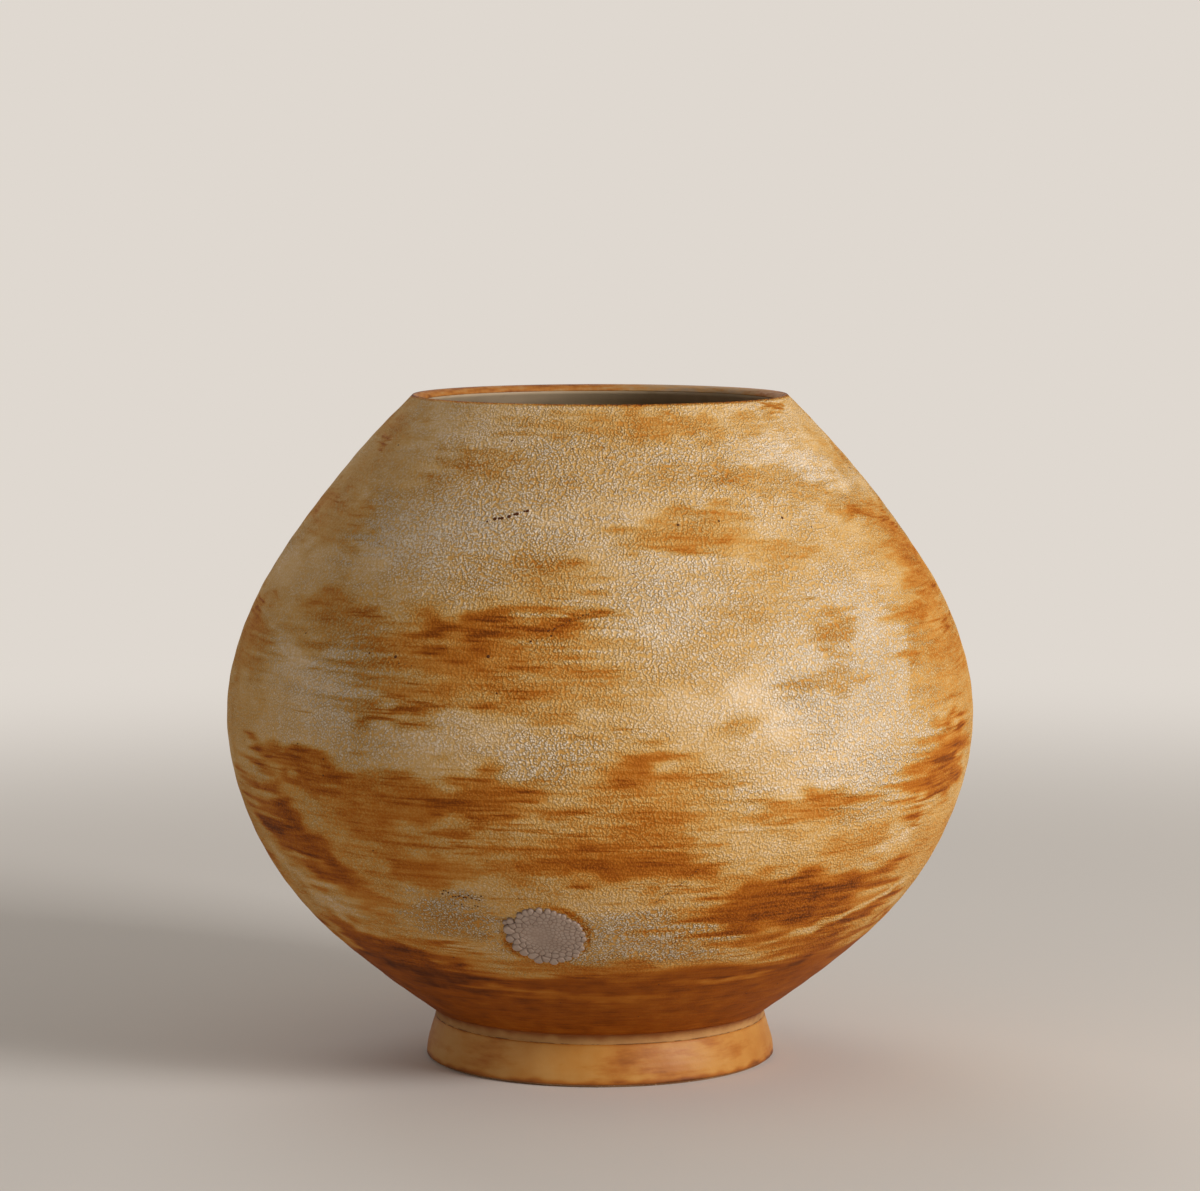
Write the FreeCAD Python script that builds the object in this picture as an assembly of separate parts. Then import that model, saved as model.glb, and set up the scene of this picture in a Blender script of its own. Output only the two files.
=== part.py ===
import FreeCAD
import Part
import math
import os

# Korean moon jar in stoneware, in millimetres and degrees.
# The frame's origin is the centre of the foot on the table, and +Z runs up the axis. The front is -Y.
# The jar is two thrown bowls luted rim to rim, with a lip coil and a foot ring luted on, under thin coats.
# Nearly every form is turned: a section of tangent arcs that is revolved about the axis.

# Outline of the finished jar, over its coats
BELLY_RADIUS = 160.0
BELLY_HEIGHT = 148.5
LIP_RADIUS = 80.0
LIP_HEIGHT = 285.1

# The outline bends three times from the belly up to the lip, and three times down to the foot. Each bend has
# its share of the line's length and its share of the line's turn towards the axis.
SHOULDER_LENGTH_SHARES = (0.152, 0.264, 0.584)
SHOULDER_TURN_SHARES = (0.320, 0.379, 0.301)
HULL_LENGTH_SHARES = (0.137, 0.502, 0.361)
HULL_TURN_SHARES = (0.231, 0.618, 0.151)

# Clay walls, thickest at the heel over the foot and thinnest at the lip
BELLY_WALL = 6.0
HEEL_WALL = 8.5
FLOOR_WALL = 6.2
LIP_WALL = 3.7

# Drop of the flat underside below the corner where the hull meets the foot
UNDERSIDE_DROP = 6.8

# Foot ring
FOOT_RADIUS = 75.0
FOOT_LEAN = 3.8
FOOT_HEIGHT = 17.5
FOOT_WIDTH = 9.5
FOOT_TOP_WIDTH = 10.0
FOOT_BEVEL = 1.1
FOOT_BEND_RADIUS = 26.0
FOOT_TURN = 16.0

# Lip coil. Its face leans inwards from square to the wall, and is a little crowned.
LIP_COIL_HEIGHT = 12.0
LIP_FACE_LEAN = 13.0
LIP_CROWN = 1.0

# Joining slip. The cove is what the foot's slip leaves outside, in the corner between foot and hull.
BELLY_SLIP = 1.0
LIP_SLIP = 0.8
FOOT_SLIP = 0.9
COVE_LEG = 2.9

# Coats
SLIP_COAT = 0.8
LINER = 0.5
RIM_WASH = 0.5
FOOT_WASH = 0.5

# Roundel of thick glaze: two rings of close-set beads round a smooth pool. Its place is its drop from the
# belly, along the wall, and its bearing from the front, positive to +X. Outer beads swell to the lower left.
ROUNDEL_DROP = 80.9
ROUNDEL_BEARING = -9.5
ROUNDEL_RADIUS = 16.2
POOL_RADIUS = 8.4
POOL_THICKNESS = 0.5
OUTER_BEAD_COUNT = 24
INNER_BEAD_COUNT = 18
INNER_RING_SHARE = 0.46
BEAD_GAP = 0.4
BEAD_HEIGHT_SHARE = 0.36
BEAD_CORNER_SHARE = 0.27
BEAD_SWELL_SHARE = 0.06
BEAD_SWELL_BEARING = 215.0

# Each tier of a bead, from its base up to its crown: its width and its height, as shares of the bead's own
BEAD_TIER_SHARES = ((1.0, 0.0), (1.0, 0.45), (0.86, 0.82), (0.55, 1.0))

UP = 1
DOWN = -1
QUARTER_TURN = math.radians(90.0)
FULL_TURN = math.radians(360.0)
AXIS_POINT = FreeCAD.Vector(0, 0, 0)
AXIS = FreeCAD.Vector(0, 0, 1)
NEGLIGIBLE = 1e-7
HALVING_COUNT = 60


class Outline:
    """A chain of tangent arcs in the half-plane of radius and height, followed up or down the jar.

    The heading is the angle off the axis's direction, and it grows as the line turns in towards the axis. A
    bend is kept as its length and its turn, so a bend with no turn is a straight run.
    """

    def __init__(self, start, heading, way):
        self.start = start
        self.heading = heading
        self.way = way
        self.bends = []

    def direction(self, heading):
        """The unit step along the line at a heading."""
        return (-math.sin(heading), self.way * math.cos(heading))

    def outward(self, heading):
        """The unit step square to the line, away from the axis."""
        return (math.cos(heading), self.way * math.sin(heading))

    def step(self, point, heading, length, turn):
        """The point that an arc of this length and turn reaches: its chord points half the turn on."""
        half = turn / 2
        chord = length
        if abs(half) > NEGLIGIBLE:
            chord = length * math.sin(half) / half
        along = self.direction(heading + half)
        return (point[0] + chord * along[0], point[1] + chord * along[1])

    def at(self, distance):
        """The point and the heading at a distance along the line."""
        point = self.start
        heading = self.heading
        for length, turn in self.bends:
            if distance <= length:
                share = distance / length
                return self.step(point, heading, distance, turn * share), heading + turn * share
            point = self.step(point, heading, length, turn)
            heading = heading + turn
            distance = distance - length
        return point, heading

    def length(self):
        return sum(length for length, turn in self.bends)

    def end(self):
        return self.at(self.length())

    def bend(self, radius, turn):
        """Adds a bend of a known radius and turn."""
        self.bends.append((radius * turn, turn))
        return self

    def run(self, length):
        """Adds a straight run."""
        self.bends.append((length, 0))
        return self

    def bend_to(self, target):
        """Adds the one bend that leaves the line without a corner and ends at the target point."""
        point, heading = self.end()
        reach = (target[0] - point[0], target[1] - point[1])
        along = self.direction(heading)
        outward = self.outward(heading)
        forward = reach[0] * along[0] + reach[1] * along[1]
        inward = -(reach[0] * outward[0] + reach[1] * outward[1])
        half = math.atan2(inward, forward)
        length = math.hypot(*reach)
        if abs(half) > NEGLIGIBLE:
            length = length * half / math.sin(half)
        self.bends.append((length, 2 * half))
        return self

    def level_to_axis(self, height):
        """Adds the bend that turns the line level at a height, and from there a straight run to the axis."""
        point, heading = self.end()
        self.bend(abs(height - point[1]) / (1 - math.sin(heading)), QUARTER_TURN - heading)
        return self.run(self.end()[0][0])

    def moved_out(self, distance):
        """The parallel line at a distance away from the axis, or towards it where it is negative."""
        outward = self.outward(self.heading)
        start = (self.start[0] + distance * outward[0], self.start[1] + distance * outward[1])
        line = Outline(start, self.heading, self.way)
        line.bends = [(length + distance * turn, turn) for length, turn in self.bends]
        return line

    def longer(self, extra):
        """The same line with its last bend carried on by an extra length."""
        line = Outline(self.start, self.heading, self.way)
        length, turn = self.bends[-1]
        line.bends = self.bends[:-1] + [(length + extra, turn * (length + extra) / length)]
        return line

    def stretch(self, first, last):
        """The part of the line between two distances along it."""
        start, heading = self.at(first)
        line = Outline(start, heading, self.way)
        passed = 0
        for length, turn in self.bends:
            begin = max(first - passed, 0)
            finish = min(last - passed, length)
            if finish - begin > NEGLIGIBLE:
                line.bends.append((finish - begin, turn * (finish - begin) / length))
            passed = passed + length
        return line

    def but_last_bend(self):
        """The line without its last bend."""
        line = Outline(self.start, self.heading, self.way)
        line.bends = self.bends[:-1]
        return line

    def last(self, distance):
        """The end of the line, of a given length."""
        return self.stretch(self.length() - distance, self.length())

    def all_but(self, distance):
        """The line without its end."""
        return self.stretch(0, self.length() - distance)

    def spans(self):
        """The line as spans: each has its first point, the middle of its arc, and its last point."""
        spans = []
        point = self.start
        heading = self.heading
        for length, turn in self.bends:
            middle = self.step(point, heading, length / 2, turn / 2)
            finish = self.step(point, heading, length, turn)
            spans.append((point, middle, finish))
            point = finish
            heading = heading + turn
        return spans

    def back(self):
        """The same spans, followed the other way."""
        return [span[::-1] for span in reversed(self.spans())]


def corner(radius, height):
    """A single point of a section, between two straight edges."""
    return [((radius, height),)]


def in_space(point):
    """A point of the half-plane, on the X-Z plane. One within a hair of the axis is put on it."""
    radius, height = point
    if abs(radius) < NEGLIGIBLE:
        radius = 0
    return FreeCAD.Vector(radius, 0, height)


def is_straight(first, middle, last):
    """True where three points lie in a line."""
    return (middle - first).cross(last - first).Length < NEGLIGIBLE * (last - first).Length


def section(*stretches):
    """The flat face inside a closed chain of spans. Where a span doesn't start at the end of the one before,
    a straight edge joins the two."""
    spans = [[in_space(point) for point in span] for stretch in stretches for span in stretch]
    edges = []
    here = spans[-1][-1]
    for span in spans:
        if here.distanceToPoint(span[0]) > NEGLIGIBLE:
            edges.append(Part.LineSegment(here, span[0]).toShape())
        if len(span) > 1 and is_straight(*span):
            edges.append(Part.LineSegment(span[0], span[-1]).toShape())
        elif len(span) > 1:
            edges.append(Part.Arc(*span).toShape())
        here = span[-1]
    return Part.Face(Part.Wire(edges))


def turned(*stretches):
    """The solid that a section sweeps in one full turn about the axis."""
    return section(*stretches).revolve(AXIS_POINT, AXIS, math.degrees(FULL_TURN))


def crowned(first, last, rise, along):
    """The span between two points of the lip's face, bowed by the rise in the direction of the wall."""
    chord = (last[0] - first[0], last[1] - first[1])
    length = math.hypot(*chord)
    square = (-chord[1] / length, chord[0] / length)
    if square[0] * along[0] + square[1] * along[1] < 0:
        square = (-square[0], -square[1])
    middle = ((first[0] + last[0]) / 2 + rise * square[0], (first[1] + last[1]) / 2 + rise * square[1])
    return [(first, middle, last)]


def body_line(way, length_shares, turn_shares, target):
    """The outline from the belly, where it is upright, to the target point. Its whole turn is the one that
    points the chord at the target: more turn leans the chord further in, so halving a range finds it."""
    drawn_in = BELLY_RADIUS - target[0]
    travel = way * (target[1] - BELLY_HEIGHT)
    least = 0
    most = 2 * QUARTER_TURN
    for _ in range(HALVING_COUNT):
        turn = (least + most) / 2
        pattern = Outline((0, 0), 0, way)
        pattern.bends = [(length, turn * share) for length, share in zip(length_shares, turn_shares)]
        reach = pattern.end()[0]
        if -reach[0] * travel < way * reach[1] * drawn_in:
            least = turn
        else:
            most = turn
    scale = math.hypot(drawn_in, travel) / math.hypot(*reach)
    line = Outline((BELLY_RADIUS, BELLY_HEIGHT), 0, way)
    line.bends = [(length * scale, bend_turn) for length, bend_turn in pattern.bends]
    return line


# Outside of the finished jar: foot side, the corner where it would meet the hull, hull and shoulder
foot_side = Outline((FOOT_RADIUS, FOOT_BEVEL), 0, UP)
foot_side.bend(FOOT_BEND_RADIUS, math.radians(FOOT_TURN)).bend_to((FOOT_RADIUS - FOOT_LEAN, FOOT_HEIGHT))
foot_top, foot_top_heading = foot_side.end()
foot_corner = foot_side.step(foot_top, foot_top_heading, COVE_LEG, 0)
clay_foot_side = foot_side.moved_out(-FOOT_WASH)
hull = body_line(DOWN, HULL_LENGTH_SHARES, HULL_TURN_SHARES, foot_corner)
shoulder = body_line(UP, SHOULDER_LENGTH_SHARES, SHOULDER_TURN_SHARES, (LIP_RADIUS, LIP_HEIGHT))

# Underside of the bowl, on from the corner
hull_end, hull_end_heading = hull.end()
UNDERSIDE_HEIGHT = hull_end[1] - UNDERSIDE_DROP
underside = Outline(hull_end, hull_end_heading, DOWN).level_to_axis(UNDERSIDE_HEIGHT)

# Clay under the coat. At the lip each line runs on until it meets the leaning face.
LEAN_SHARE = math.tan(math.radians(LIP_FACE_LEAN))
clay_hull = hull.moved_out(-SLIP_COAT)
clay_underside = underside.moved_out(-SLIP_COAT)
clay_shoulder = shoulder.moved_out(-SLIP_COAT)
clay_lip = clay_shoulder.longer(SLIP_COAT * LEAN_SHARE)

# Inside of the clay: parallel to the outside at the belly, then thinner to the lip and thicker to the heel
lip_edge, lip_heading = shoulder.end()
lip_along = shoulder.direction(lip_heading)
lip_outward = shoulder.outward(lip_heading)
lip_depth = SLIP_COAT + LIP_WALL
lip_inner_edge = tuple(
    lip_edge[axis] + lip_depth * (LEAN_SHARE * lip_along[axis] - lip_outward[axis]) for axis in (0, 1)
)
bowl_depth = SLIP_COAT + BELLY_WALL
heel_depth = SLIP_COAT + HEEL_WALL
hull_outward = hull.outward(hull_end_heading)
heel = tuple(hull_end[axis] - heel_depth * hull_outward[axis] for axis in (0, 1))
inner_shoulder = shoulder.but_last_bend().moved_out(-bowl_depth).bend_to(lip_inner_edge)
inner_hull = hull.but_last_bend().moved_out(-bowl_depth).bend_to(heel)
inner_hull.level_to_axis(UNDERSIDE_HEIGHT + SLIP_COAT + FLOOR_WALL)

# Inside of the liner
liner_hull = inner_hull.moved_out(-LINER)
liner_shoulder = inner_shoulder.moved_out(-LINER).longer(LINER * LEAN_SHARE)

# Where the foot's slip lies: its cove outside, and its bed over the top of the ring
cove_start = hull.length() - COVE_LEG
cove_edge = hull.at(cove_start)[0]
bed_roof = underside.stretch(0, FOOT_TOP_WIDTH).moved_out(-SLIP_COAT)
bed_floor = underside.stretch(0, FOOT_TOP_WIDTH).moved_out(FOOT_SLIP - SLIP_COAT)


def lower_bowl():
    """The lower thrown bowl: hull, floor and the flat underside inside the foot."""
    half_slip = BELLY_SLIP / 2
    return turned(
        clay_hull.stretch(half_slip, clay_hull.length()).spans(),
        clay_underside.spans(),
        inner_hull.stretch(half_slip, inner_hull.length()).back(),
    )


def belly_slip():
    """The ring of slip between the two rims, flush with both walls."""
    half_slip = BELLY_SLIP / 2
    return turned(
        clay_hull.stretch(0, half_slip).back(),
        clay_shoulder.stretch(0, half_slip).spans(),
        inner_shoulder.stretch(0, half_slip).back(),
        inner_hull.stretch(0, half_slip).spans(),
    )


def upper_bowl():
    """The second bowl, upside down, cut off below the lip coil."""
    half_slip = BELLY_SLIP / 2
    top = LIP_COIL_HEIGHT + LIP_SLIP
    return turned(
        clay_shoulder.stretch(half_slip, clay_shoulder.length() - top).spans(),
        inner_shoulder.stretch(half_slip, inner_shoulder.length() - top).back(),
    )


def lip_slip():
    """The slip under the lip coil, square to the wall."""
    return turned(
        clay_shoulder.all_but(LIP_COIL_HEIGHT).last(LIP_SLIP).spans(),
        inner_shoulder.all_but(LIP_COIL_HEIGHT).last(LIP_SLIP).back(),
    )


def mouth_lip():
    """The lip coil, in line with the shoulder, with its face leaning inwards under a low crown."""
    outside = clay_lip.stretch(clay_shoulder.length() - LIP_COIL_HEIGHT, clay_lip.length())
    return turned(
        outside.spans(),
        crowned(clay_lip.end()[0], lip_inner_edge, LIP_CROWN - RIM_WASH, lip_along),
        inner_shoulder.last(LIP_COIL_HEIGHT).back(),
    )


def rim_wash():
    """The wash over the lip's face, from the coat's outer edge to the liner's inner edge."""
    return turned(
        crowned(lip_edge, liner_shoulder.end()[0], LIP_CROWN, lip_along),
        crowned(lip_inner_edge, clay_lip.end()[0], LIP_CROWN - RIM_WASH, lip_along),
    )


def slip_coat():
    """The crawled coat from the cove to the lip."""
    return turned(
        hull.stretch(0, cove_start).back(),
        shoulder.spans(),
        clay_lip.back(),
        hull.stretch(0, cove_start).moved_out(-SLIP_COAT).spans(),
    )


def inner_glaze():
    """The liner over the whole inside, floor included."""
    return turned(
        inner_hull.back(),
        inner_shoulder.spans(),
        liner_shoulder.back(),
        liner_hull.spans(),
    )


def foot_ring():
    """The foot: a leaning ring with bevelled edges, its top bedded to the bowl's underside."""
    inner_radius = FOOT_RADIUS - FOOT_WIDTH
    return turned(
        corner(FOOT_RADIUS - FOOT_WASH - FOOT_BEVEL, 0),
        clay_foot_side.spans(),
        bed_floor.spans(),
        corner(inner_radius, FOOT_BEVEL),
        corner(inner_radius + FOOT_BEVEL, 0),
    )


def foot_slip():
    """The slip between foot and bowl: a thin bed, and the cove that fills the corner outside."""
    cove = Outline(foot_top, foot_top_heading, UP).bend_to(cove_edge)
    return turned(
        cove.spans(),
        hull.last(COVE_LEG).moved_out(-SLIP_COAT).spans(),
        bed_roof.spans(),
        bed_floor.back(),
        corner(*clay_foot_side.end()[0]),
    )


def foot_wash():
    """The wash on the foot's side, from the hairline down to the bevel, which stays bare."""
    return turned(
        foot_side.spans(),
        clay_foot_side.back(),
    )


def roundel_place(across, upward):
    """The point on the coat at a place of the roundel, by distances across and up the wall, and the
    directions across, up and out of the wall there."""
    point, heading = hull.at(ROUNDEL_DROP - upward)
    along = hull.direction(heading)
    outward = hull.outward(heading)
    turn = FreeCAD.Rotation(AXIS, ROUNDEL_BEARING + math.degrees(across / point[0] - QUARTER_TURN))
    up_wall = turn.multVec(FreeCAD.Vector(-along[0], 0, -along[1]))
    out = turn.multVec(FreeCAD.Vector(outward[0], 0, outward[1]))
    return turn.multVec(in_space(point)), turn.multVec(FreeCAD.Vector(0, 1, 0)), up_wall, out


def cell_corners(inner, outer, middle, half_angle):
    """The eight corners of one bead of a ring, across and up from the roundel's centre: a sector of the
    ring, less a gap all round, with its four corners cut off."""
    half_gap = BEAD_GAP / 2
    low = inner + half_gap
    high = outer - half_gap
    cut = BEAD_CORNER_SHARE * (high - low)
    corners = []
    for radius, side, inset in (
        (low, -1, cut), (low, 1, cut), (low + cut, 1, 0), (high - cut, 1, 0),
        (high, 1, cut), (high, -1, cut), (high - cut, -1, 0), (low + cut, -1, 0),
    ):
        angle = middle + side * (half_angle - (half_gap + inset) / radius)
        corners.append((radius * math.cos(angle), radius * math.sin(angle)))
    return corners


def flat_face(points):
    """The flat face inside a ring of points."""
    return Part.Face(Part.makePolygon(points + points[:1]))


def bead(corners, height):
    """A bead with the given corners, on a flat base that touches the coat under its middle. It stands upright
    from there and is then drawn in to a small flat crown."""
    across = sum(place[0] for place in corners) / len(corners)
    upward = sum(place[1] for place in corners) / len(corners)
    foot, east, north, out = roundel_place(across, upward)
    tiers = []
    for width_share, height_share in BEAD_TIER_SHARES:
        level = foot + out * (height * height_share)
        tiers.append([
            level + east * ((place[0] - across) * width_share) + north * ((place[1] - upward) * width_share)
            for place in corners
        ])
    faces = [flat_face(tiers[0]), flat_face(tiers[-1])]
    for lower, upper in zip(tiers, tiers[1:]):
        for number in range(len(corners)):
            before = number - 1
            faces.append(flat_face([lower[before], lower[number], upper[number], upper[before]]))
    return Part.Solid(Part.Shell(faces))


def bead_ring(inner, outer, count, swell_share):
    """The beads of one ring, between two radii, as tall as they are wide, times the height share."""
    half_angle = FULL_TURN / count / 2
    height = BEAD_HEIGHT_SHARE * min(outer - inner, (inner + outer) * half_angle)
    beads = []
    for number in range(count):
        middle = FULL_TURN * number / count
        swell = 1 + swell_share * math.cos(middle - math.radians(BEAD_SWELL_BEARING))
        beads.append(bead(cell_corners(inner, outer * swell, middle, half_angle), height * swell))
    return beads


def pool():
    """The middle of the roundel: a round, even layer that follows the coat."""
    line = hull.stretch(ROUNDEL_DROP - 2 * POOL_RADIUS, ROUNDEL_DROP + 2 * POOL_RADIUS)
    face = section(line.spans(), line.moved_out(POOL_THICKNESS).back())
    half_angle = math.degrees(2 * POOL_RADIUS / hull.at(ROUNDEL_DROP)[0][0])
    face.rotate(AXIS_POINT, AXIS, ROUNDEL_BEARING - math.degrees(QUARTER_TURN) - half_angle)
    layer = face.revolve(AXIS_POINT, AXIS, 2 * half_angle)
    middle, east, north, out = roundel_place(0, 0)
    return layer.common(Part.makeCylinder(POOL_RADIUS, 2 * POOL_RADIUS, middle - out * POOL_RADIUS, out))


def glaze_roundel():
    """The roundel: a smooth shallow pool and two rings of beads, each a solid that stands on the coat."""
    ring_edge = POOL_RADIUS + (ROUNDEL_RADIUS - POOL_RADIUS) * INNER_RING_SHARE
    inner = bead_ring(POOL_RADIUS, ring_edge, INNER_BEAD_COUNT, 0)
    outer = bead_ring(ring_edge, ROUNDEL_RADIUS, OUTER_BEAD_COUNT, BEAD_SWELL_SHARE)
    return Part.makeCompound(pool().Solids + inner + outer)


PIECES = (
    lower_bowl,
    belly_slip,
    upper_bowl,
    lip_slip,
    mouth_lip,
    foot_ring,
    foot_slip,
    inner_glaze,
    slip_coat,
    rim_wash,
    foot_wash,
    glaze_roundel,
)

os.makedirs("parts", exist_ok=True)
for piece in PIECES:
    shape = piece()
    name = piece.__name__
    print(name, "solids", len(shape.Solids), "valid", shape.isValid(), "volume", round(shape.Volume))
    shape.exportStep("parts/" + name + ".step")
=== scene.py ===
import math

import bpy
import numpy as np
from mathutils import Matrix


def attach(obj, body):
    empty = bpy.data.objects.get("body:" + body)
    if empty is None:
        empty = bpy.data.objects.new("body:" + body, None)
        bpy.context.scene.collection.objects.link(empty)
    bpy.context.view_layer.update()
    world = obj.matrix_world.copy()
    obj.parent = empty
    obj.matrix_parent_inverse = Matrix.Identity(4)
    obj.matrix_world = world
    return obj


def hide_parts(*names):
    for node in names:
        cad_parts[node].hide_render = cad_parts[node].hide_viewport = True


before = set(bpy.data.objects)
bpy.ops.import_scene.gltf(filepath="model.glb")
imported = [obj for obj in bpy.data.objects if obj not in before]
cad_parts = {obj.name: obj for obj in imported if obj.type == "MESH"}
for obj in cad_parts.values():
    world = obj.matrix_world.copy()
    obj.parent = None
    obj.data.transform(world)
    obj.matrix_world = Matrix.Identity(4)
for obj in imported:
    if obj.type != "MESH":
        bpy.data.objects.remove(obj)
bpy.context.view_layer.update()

# Thrown clay: two bowls luted rim to rim, a lip coil and a foot ring, in buff stoneware.
# The coats hide nearly all of it. It shows bare under the foot, in the foot's recess and on its bevel,
# where it is dry, sandy and a little toasted by the fire.

MM = 0.001
CLAY_PALE = "#B08A66"
CLAY_TOASTED = "#8E6038"
CLAY_GROG = "#D8C09C"
CLAY_TOAST_WIDTH = 28.0
CLAY_GRAIN = 0.7
CLAY_GRAIN_HEIGHT = 0.2

# Sockets of a mix of two colours: its share, the colours under and over, and the result
MIX_SHARE = 0
MIX_UNDER = 6
MIX_OVER = 7
MIXED = 2


def linear(code):
    """The linear colour of an sRGB hex code: ((c + 0.055) / 1.055) ** 2.4, or c / 12.92 where c is dark."""
    shares = [int(code[place:place + 2], 16) / 255 for place in (1, 3, 5)]
    return [c / 12.92 if c <= 0.04045 else ((c + 0.055) / 1.055) ** 2.4 for c in shares] + [1.0]


def per_metre(width):
    """The scale of a pattern whose features are so many millimetres wide."""
    return 1 / (MM * width)


def new_material(name):
    """An empty node material."""
    material = bpy.data.materials.new(name)
    material.use_nodes = True
    material.node_tree.nodes.clear()
    return material


def add(material, kind, inputs=(), stops=(), **settings):
    """Adds a shader node with its settings and its colour stops, (place, colour). The inputs are named, or
    listed in order, and each is a value, one output of a node, or a node, which gives its first output."""
    node = material.node_tree.nodes.new("ShaderNode" + kind)
    for name, value in settings.items():
        setattr(node, name, value)
    for number, (place, code) in enumerate(stops):
        # A new ramp already has two stops.
        if number > 1:
            node.color_ramp.elements.new(place)
        node.color_ramp.elements[number].position = place
        node.color_ramp.elements[number].color = linear(code)
    for name, value in inputs.items() if isinstance(inputs, dict) else enumerate(inputs):
        if isinstance(value, bpy.types.Node):
            value = value.outputs[0]
        if isinstance(value, bpy.types.NodeSocket):
            material.node_tree.links.new(value, node.inputs[name])
        else:
            node.inputs[name].default_value = value
    return node


def bare_stoneware():
    """Bare fired stoneware, turned with a tool: dry and matt, toasted in patches, with pale grains."""
    clay = new_material("bare_stoneware")
    place = add(clay, "TexCoord").outputs["Object"]
    toast = add(clay, "TexNoise", {"Vector": place, "Scale": per_metre(CLAY_TOAST_WIDTH), "Detail": 4.0})
    grain = add(clay, "TexNoise", {"Vector": place, "Scale": per_metre(CLAY_GRAIN), "Detail": 2.0})
    body = add(clay, "ValToRGB", {"Fac": toast}, [(0.35, CLAY_PALE), (0.65, CLAY_TOASTED)])
    grog = add(clay, "MapRange", {"Value": grain, "From Min": 0.62, "From Max": 0.72})
    colour = add(clay, "Mix", {
        MIX_SHARE: grog, MIX_UNDER: body, MIX_OVER: linear(CLAY_GROG),
    }, data_type="RGBA").outputs[MIXED]
    bump = add(clay, "Bump", {"Height": grain, "Strength": 0.6, "Distance": CLAY_GRAIN_HEIGHT * MM})
    shader = add(clay, "BsdfPrincipled", {"Base Color": colour, "Roughness": 0.92, "Normal": bump})
    add(clay, "OutputMaterial", {"Surface": shader})
    return clay


def finish_node(name, material):
    """Gives a CAD node one material on all its slots."""
    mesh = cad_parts[name].data
    mesh.materials.clear()
    mesh.materials.append(material)


stoneware = bare_stoneware()
for name in ("lower_bowl", "upper_bowl", "mouth_lip", "foot_ring"):
    finish_node(name, stoneware)


# Joining slip: clay thinned to cream and spread on both faces of a joint before they are pressed together.
# The rings at the belly and under the lip coil are covered by the coat and the liner. The slip that squeezed
# out over the foot was wiped to a cove with a finger, and it shrank to a dark broken hairline at its foot.

BELLY_RADIUS = 160.0
SLIP_PALE = "#BF8F53"
SLIP_DARK = "#9E6C36"
SLIP_STAINED = "#8C4F17"
SLIP_CRACK = "#4A2A14"
SLIP_GRAIN = 1.6
SLIP_GRAIN_HEIGHT = 0.25

# The cove goes up from its foot, a radius and a height, at a heading in degrees off the axis, in one bend.
# Its bed is a line of radii and heights between the foot and the bowl.
COVE_FOOT = (71.2, 17.5)
COVE_HEADING = 17.66
COVE_LENGTH = 4.98
COVE_TURN = -73.6
COVE_BED = [
    (72.3, 22.5), (69.9, 20.9), (65.9, 18.2), (61.2, 16.6),
    (61.4, 15.7), (66.4, 17.4), (70.4, 19.9), (70.7, 17.4),
]
COVE_COLUMNS = 360
COVE_ROWS = 14
FINGER_DEPTH = 0.1
FINGER_FADE = 1.0
HAIRLINE_WIDTH = 0.45
HAIRLINE_BREAK = 5.0

# The stain on the cove is full this far below the coat's edge, and ends this far below it.
STAIN_FULL = 0.6
STAIN_END = 4.4
STAIN_WANDER = 0.5

# Each field of waves: its seed, how many waves it has, the longest and the shortest in mm, and its stretch
FINGER_WAVES = (11, 30, 40, 6, 2)
STAIN_WAVES = (12, 20, 60, 12, 1)
WAVE_PHASES = (0, 7)

# The least and the most that waves press a soft face in, in shares of their depth
DIP_RANGE = (0, 2.4)

UP = 1
DOWN = -1


def follow(start, heading, way, bends, distances):
    """Radius, height and heading along a chain of tangent arcs that goes up or down.

    Each bend is its length in mm and its turn in degrees. The heading is the angle off the axis, positive
    inwards. On an arc of curvature k that starts at radius r, height z and heading h, a distance u on:
    radius = r - (cos h - cos(h + k u)) / k and height = z + way (sin(h + k u) - sin h) / k.
    """
    lengths, turns = np.array(bends).T
    turns = np.radians(turns)
    first = np.concatenate([[0], np.cumsum(lengths)[:-1]])
    headings = math.radians(heading) + np.concatenate([[0], np.cumsum(turns)[:-1]])
    curvatures = turns / lengths
    inward = (np.cos(headings) - np.cos(headings + turns)) / curvatures
    onward = (np.sin(headings + turns) - np.sin(headings)) / curvatures
    radii = start[0] - np.concatenate([[0], np.cumsum(inward)[:-1]])
    heights = start[1] + way * np.concatenate([[0], np.cumsum(onward)[:-1]])
    arc = np.clip(np.searchsorted(first, distances, side="right") - 1, 0, len(bends) - 1)
    here = headings[arc] + curvatures[arc] * (distances - first[arc])
    radius = radii[arc] - (np.cos(headings[arc]) - np.cos(here)) / curvatures[arc]
    height = heights[arc] + way * (np.sin(here) - np.sin(headings[arc])) / curvatures[arc]
    return radius, height, here


def bearings(columns):
    """Even bearings all round the jar, in radians from the front, as one row."""
    return np.linspace(-math.pi, math.pi, columns, endpoint=False)[None, :]


def round_jar(bearing, radius, height):
    """Points at a bearing in radians from the front, -Y: (r sin b, -r cos b, z)."""
    bearing, radius, height = np.broadcast_arrays(bearing, radius, height)
    return np.stack([radius * np.sin(bearing), -radius * np.cos(bearing), height], axis=-1)


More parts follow.
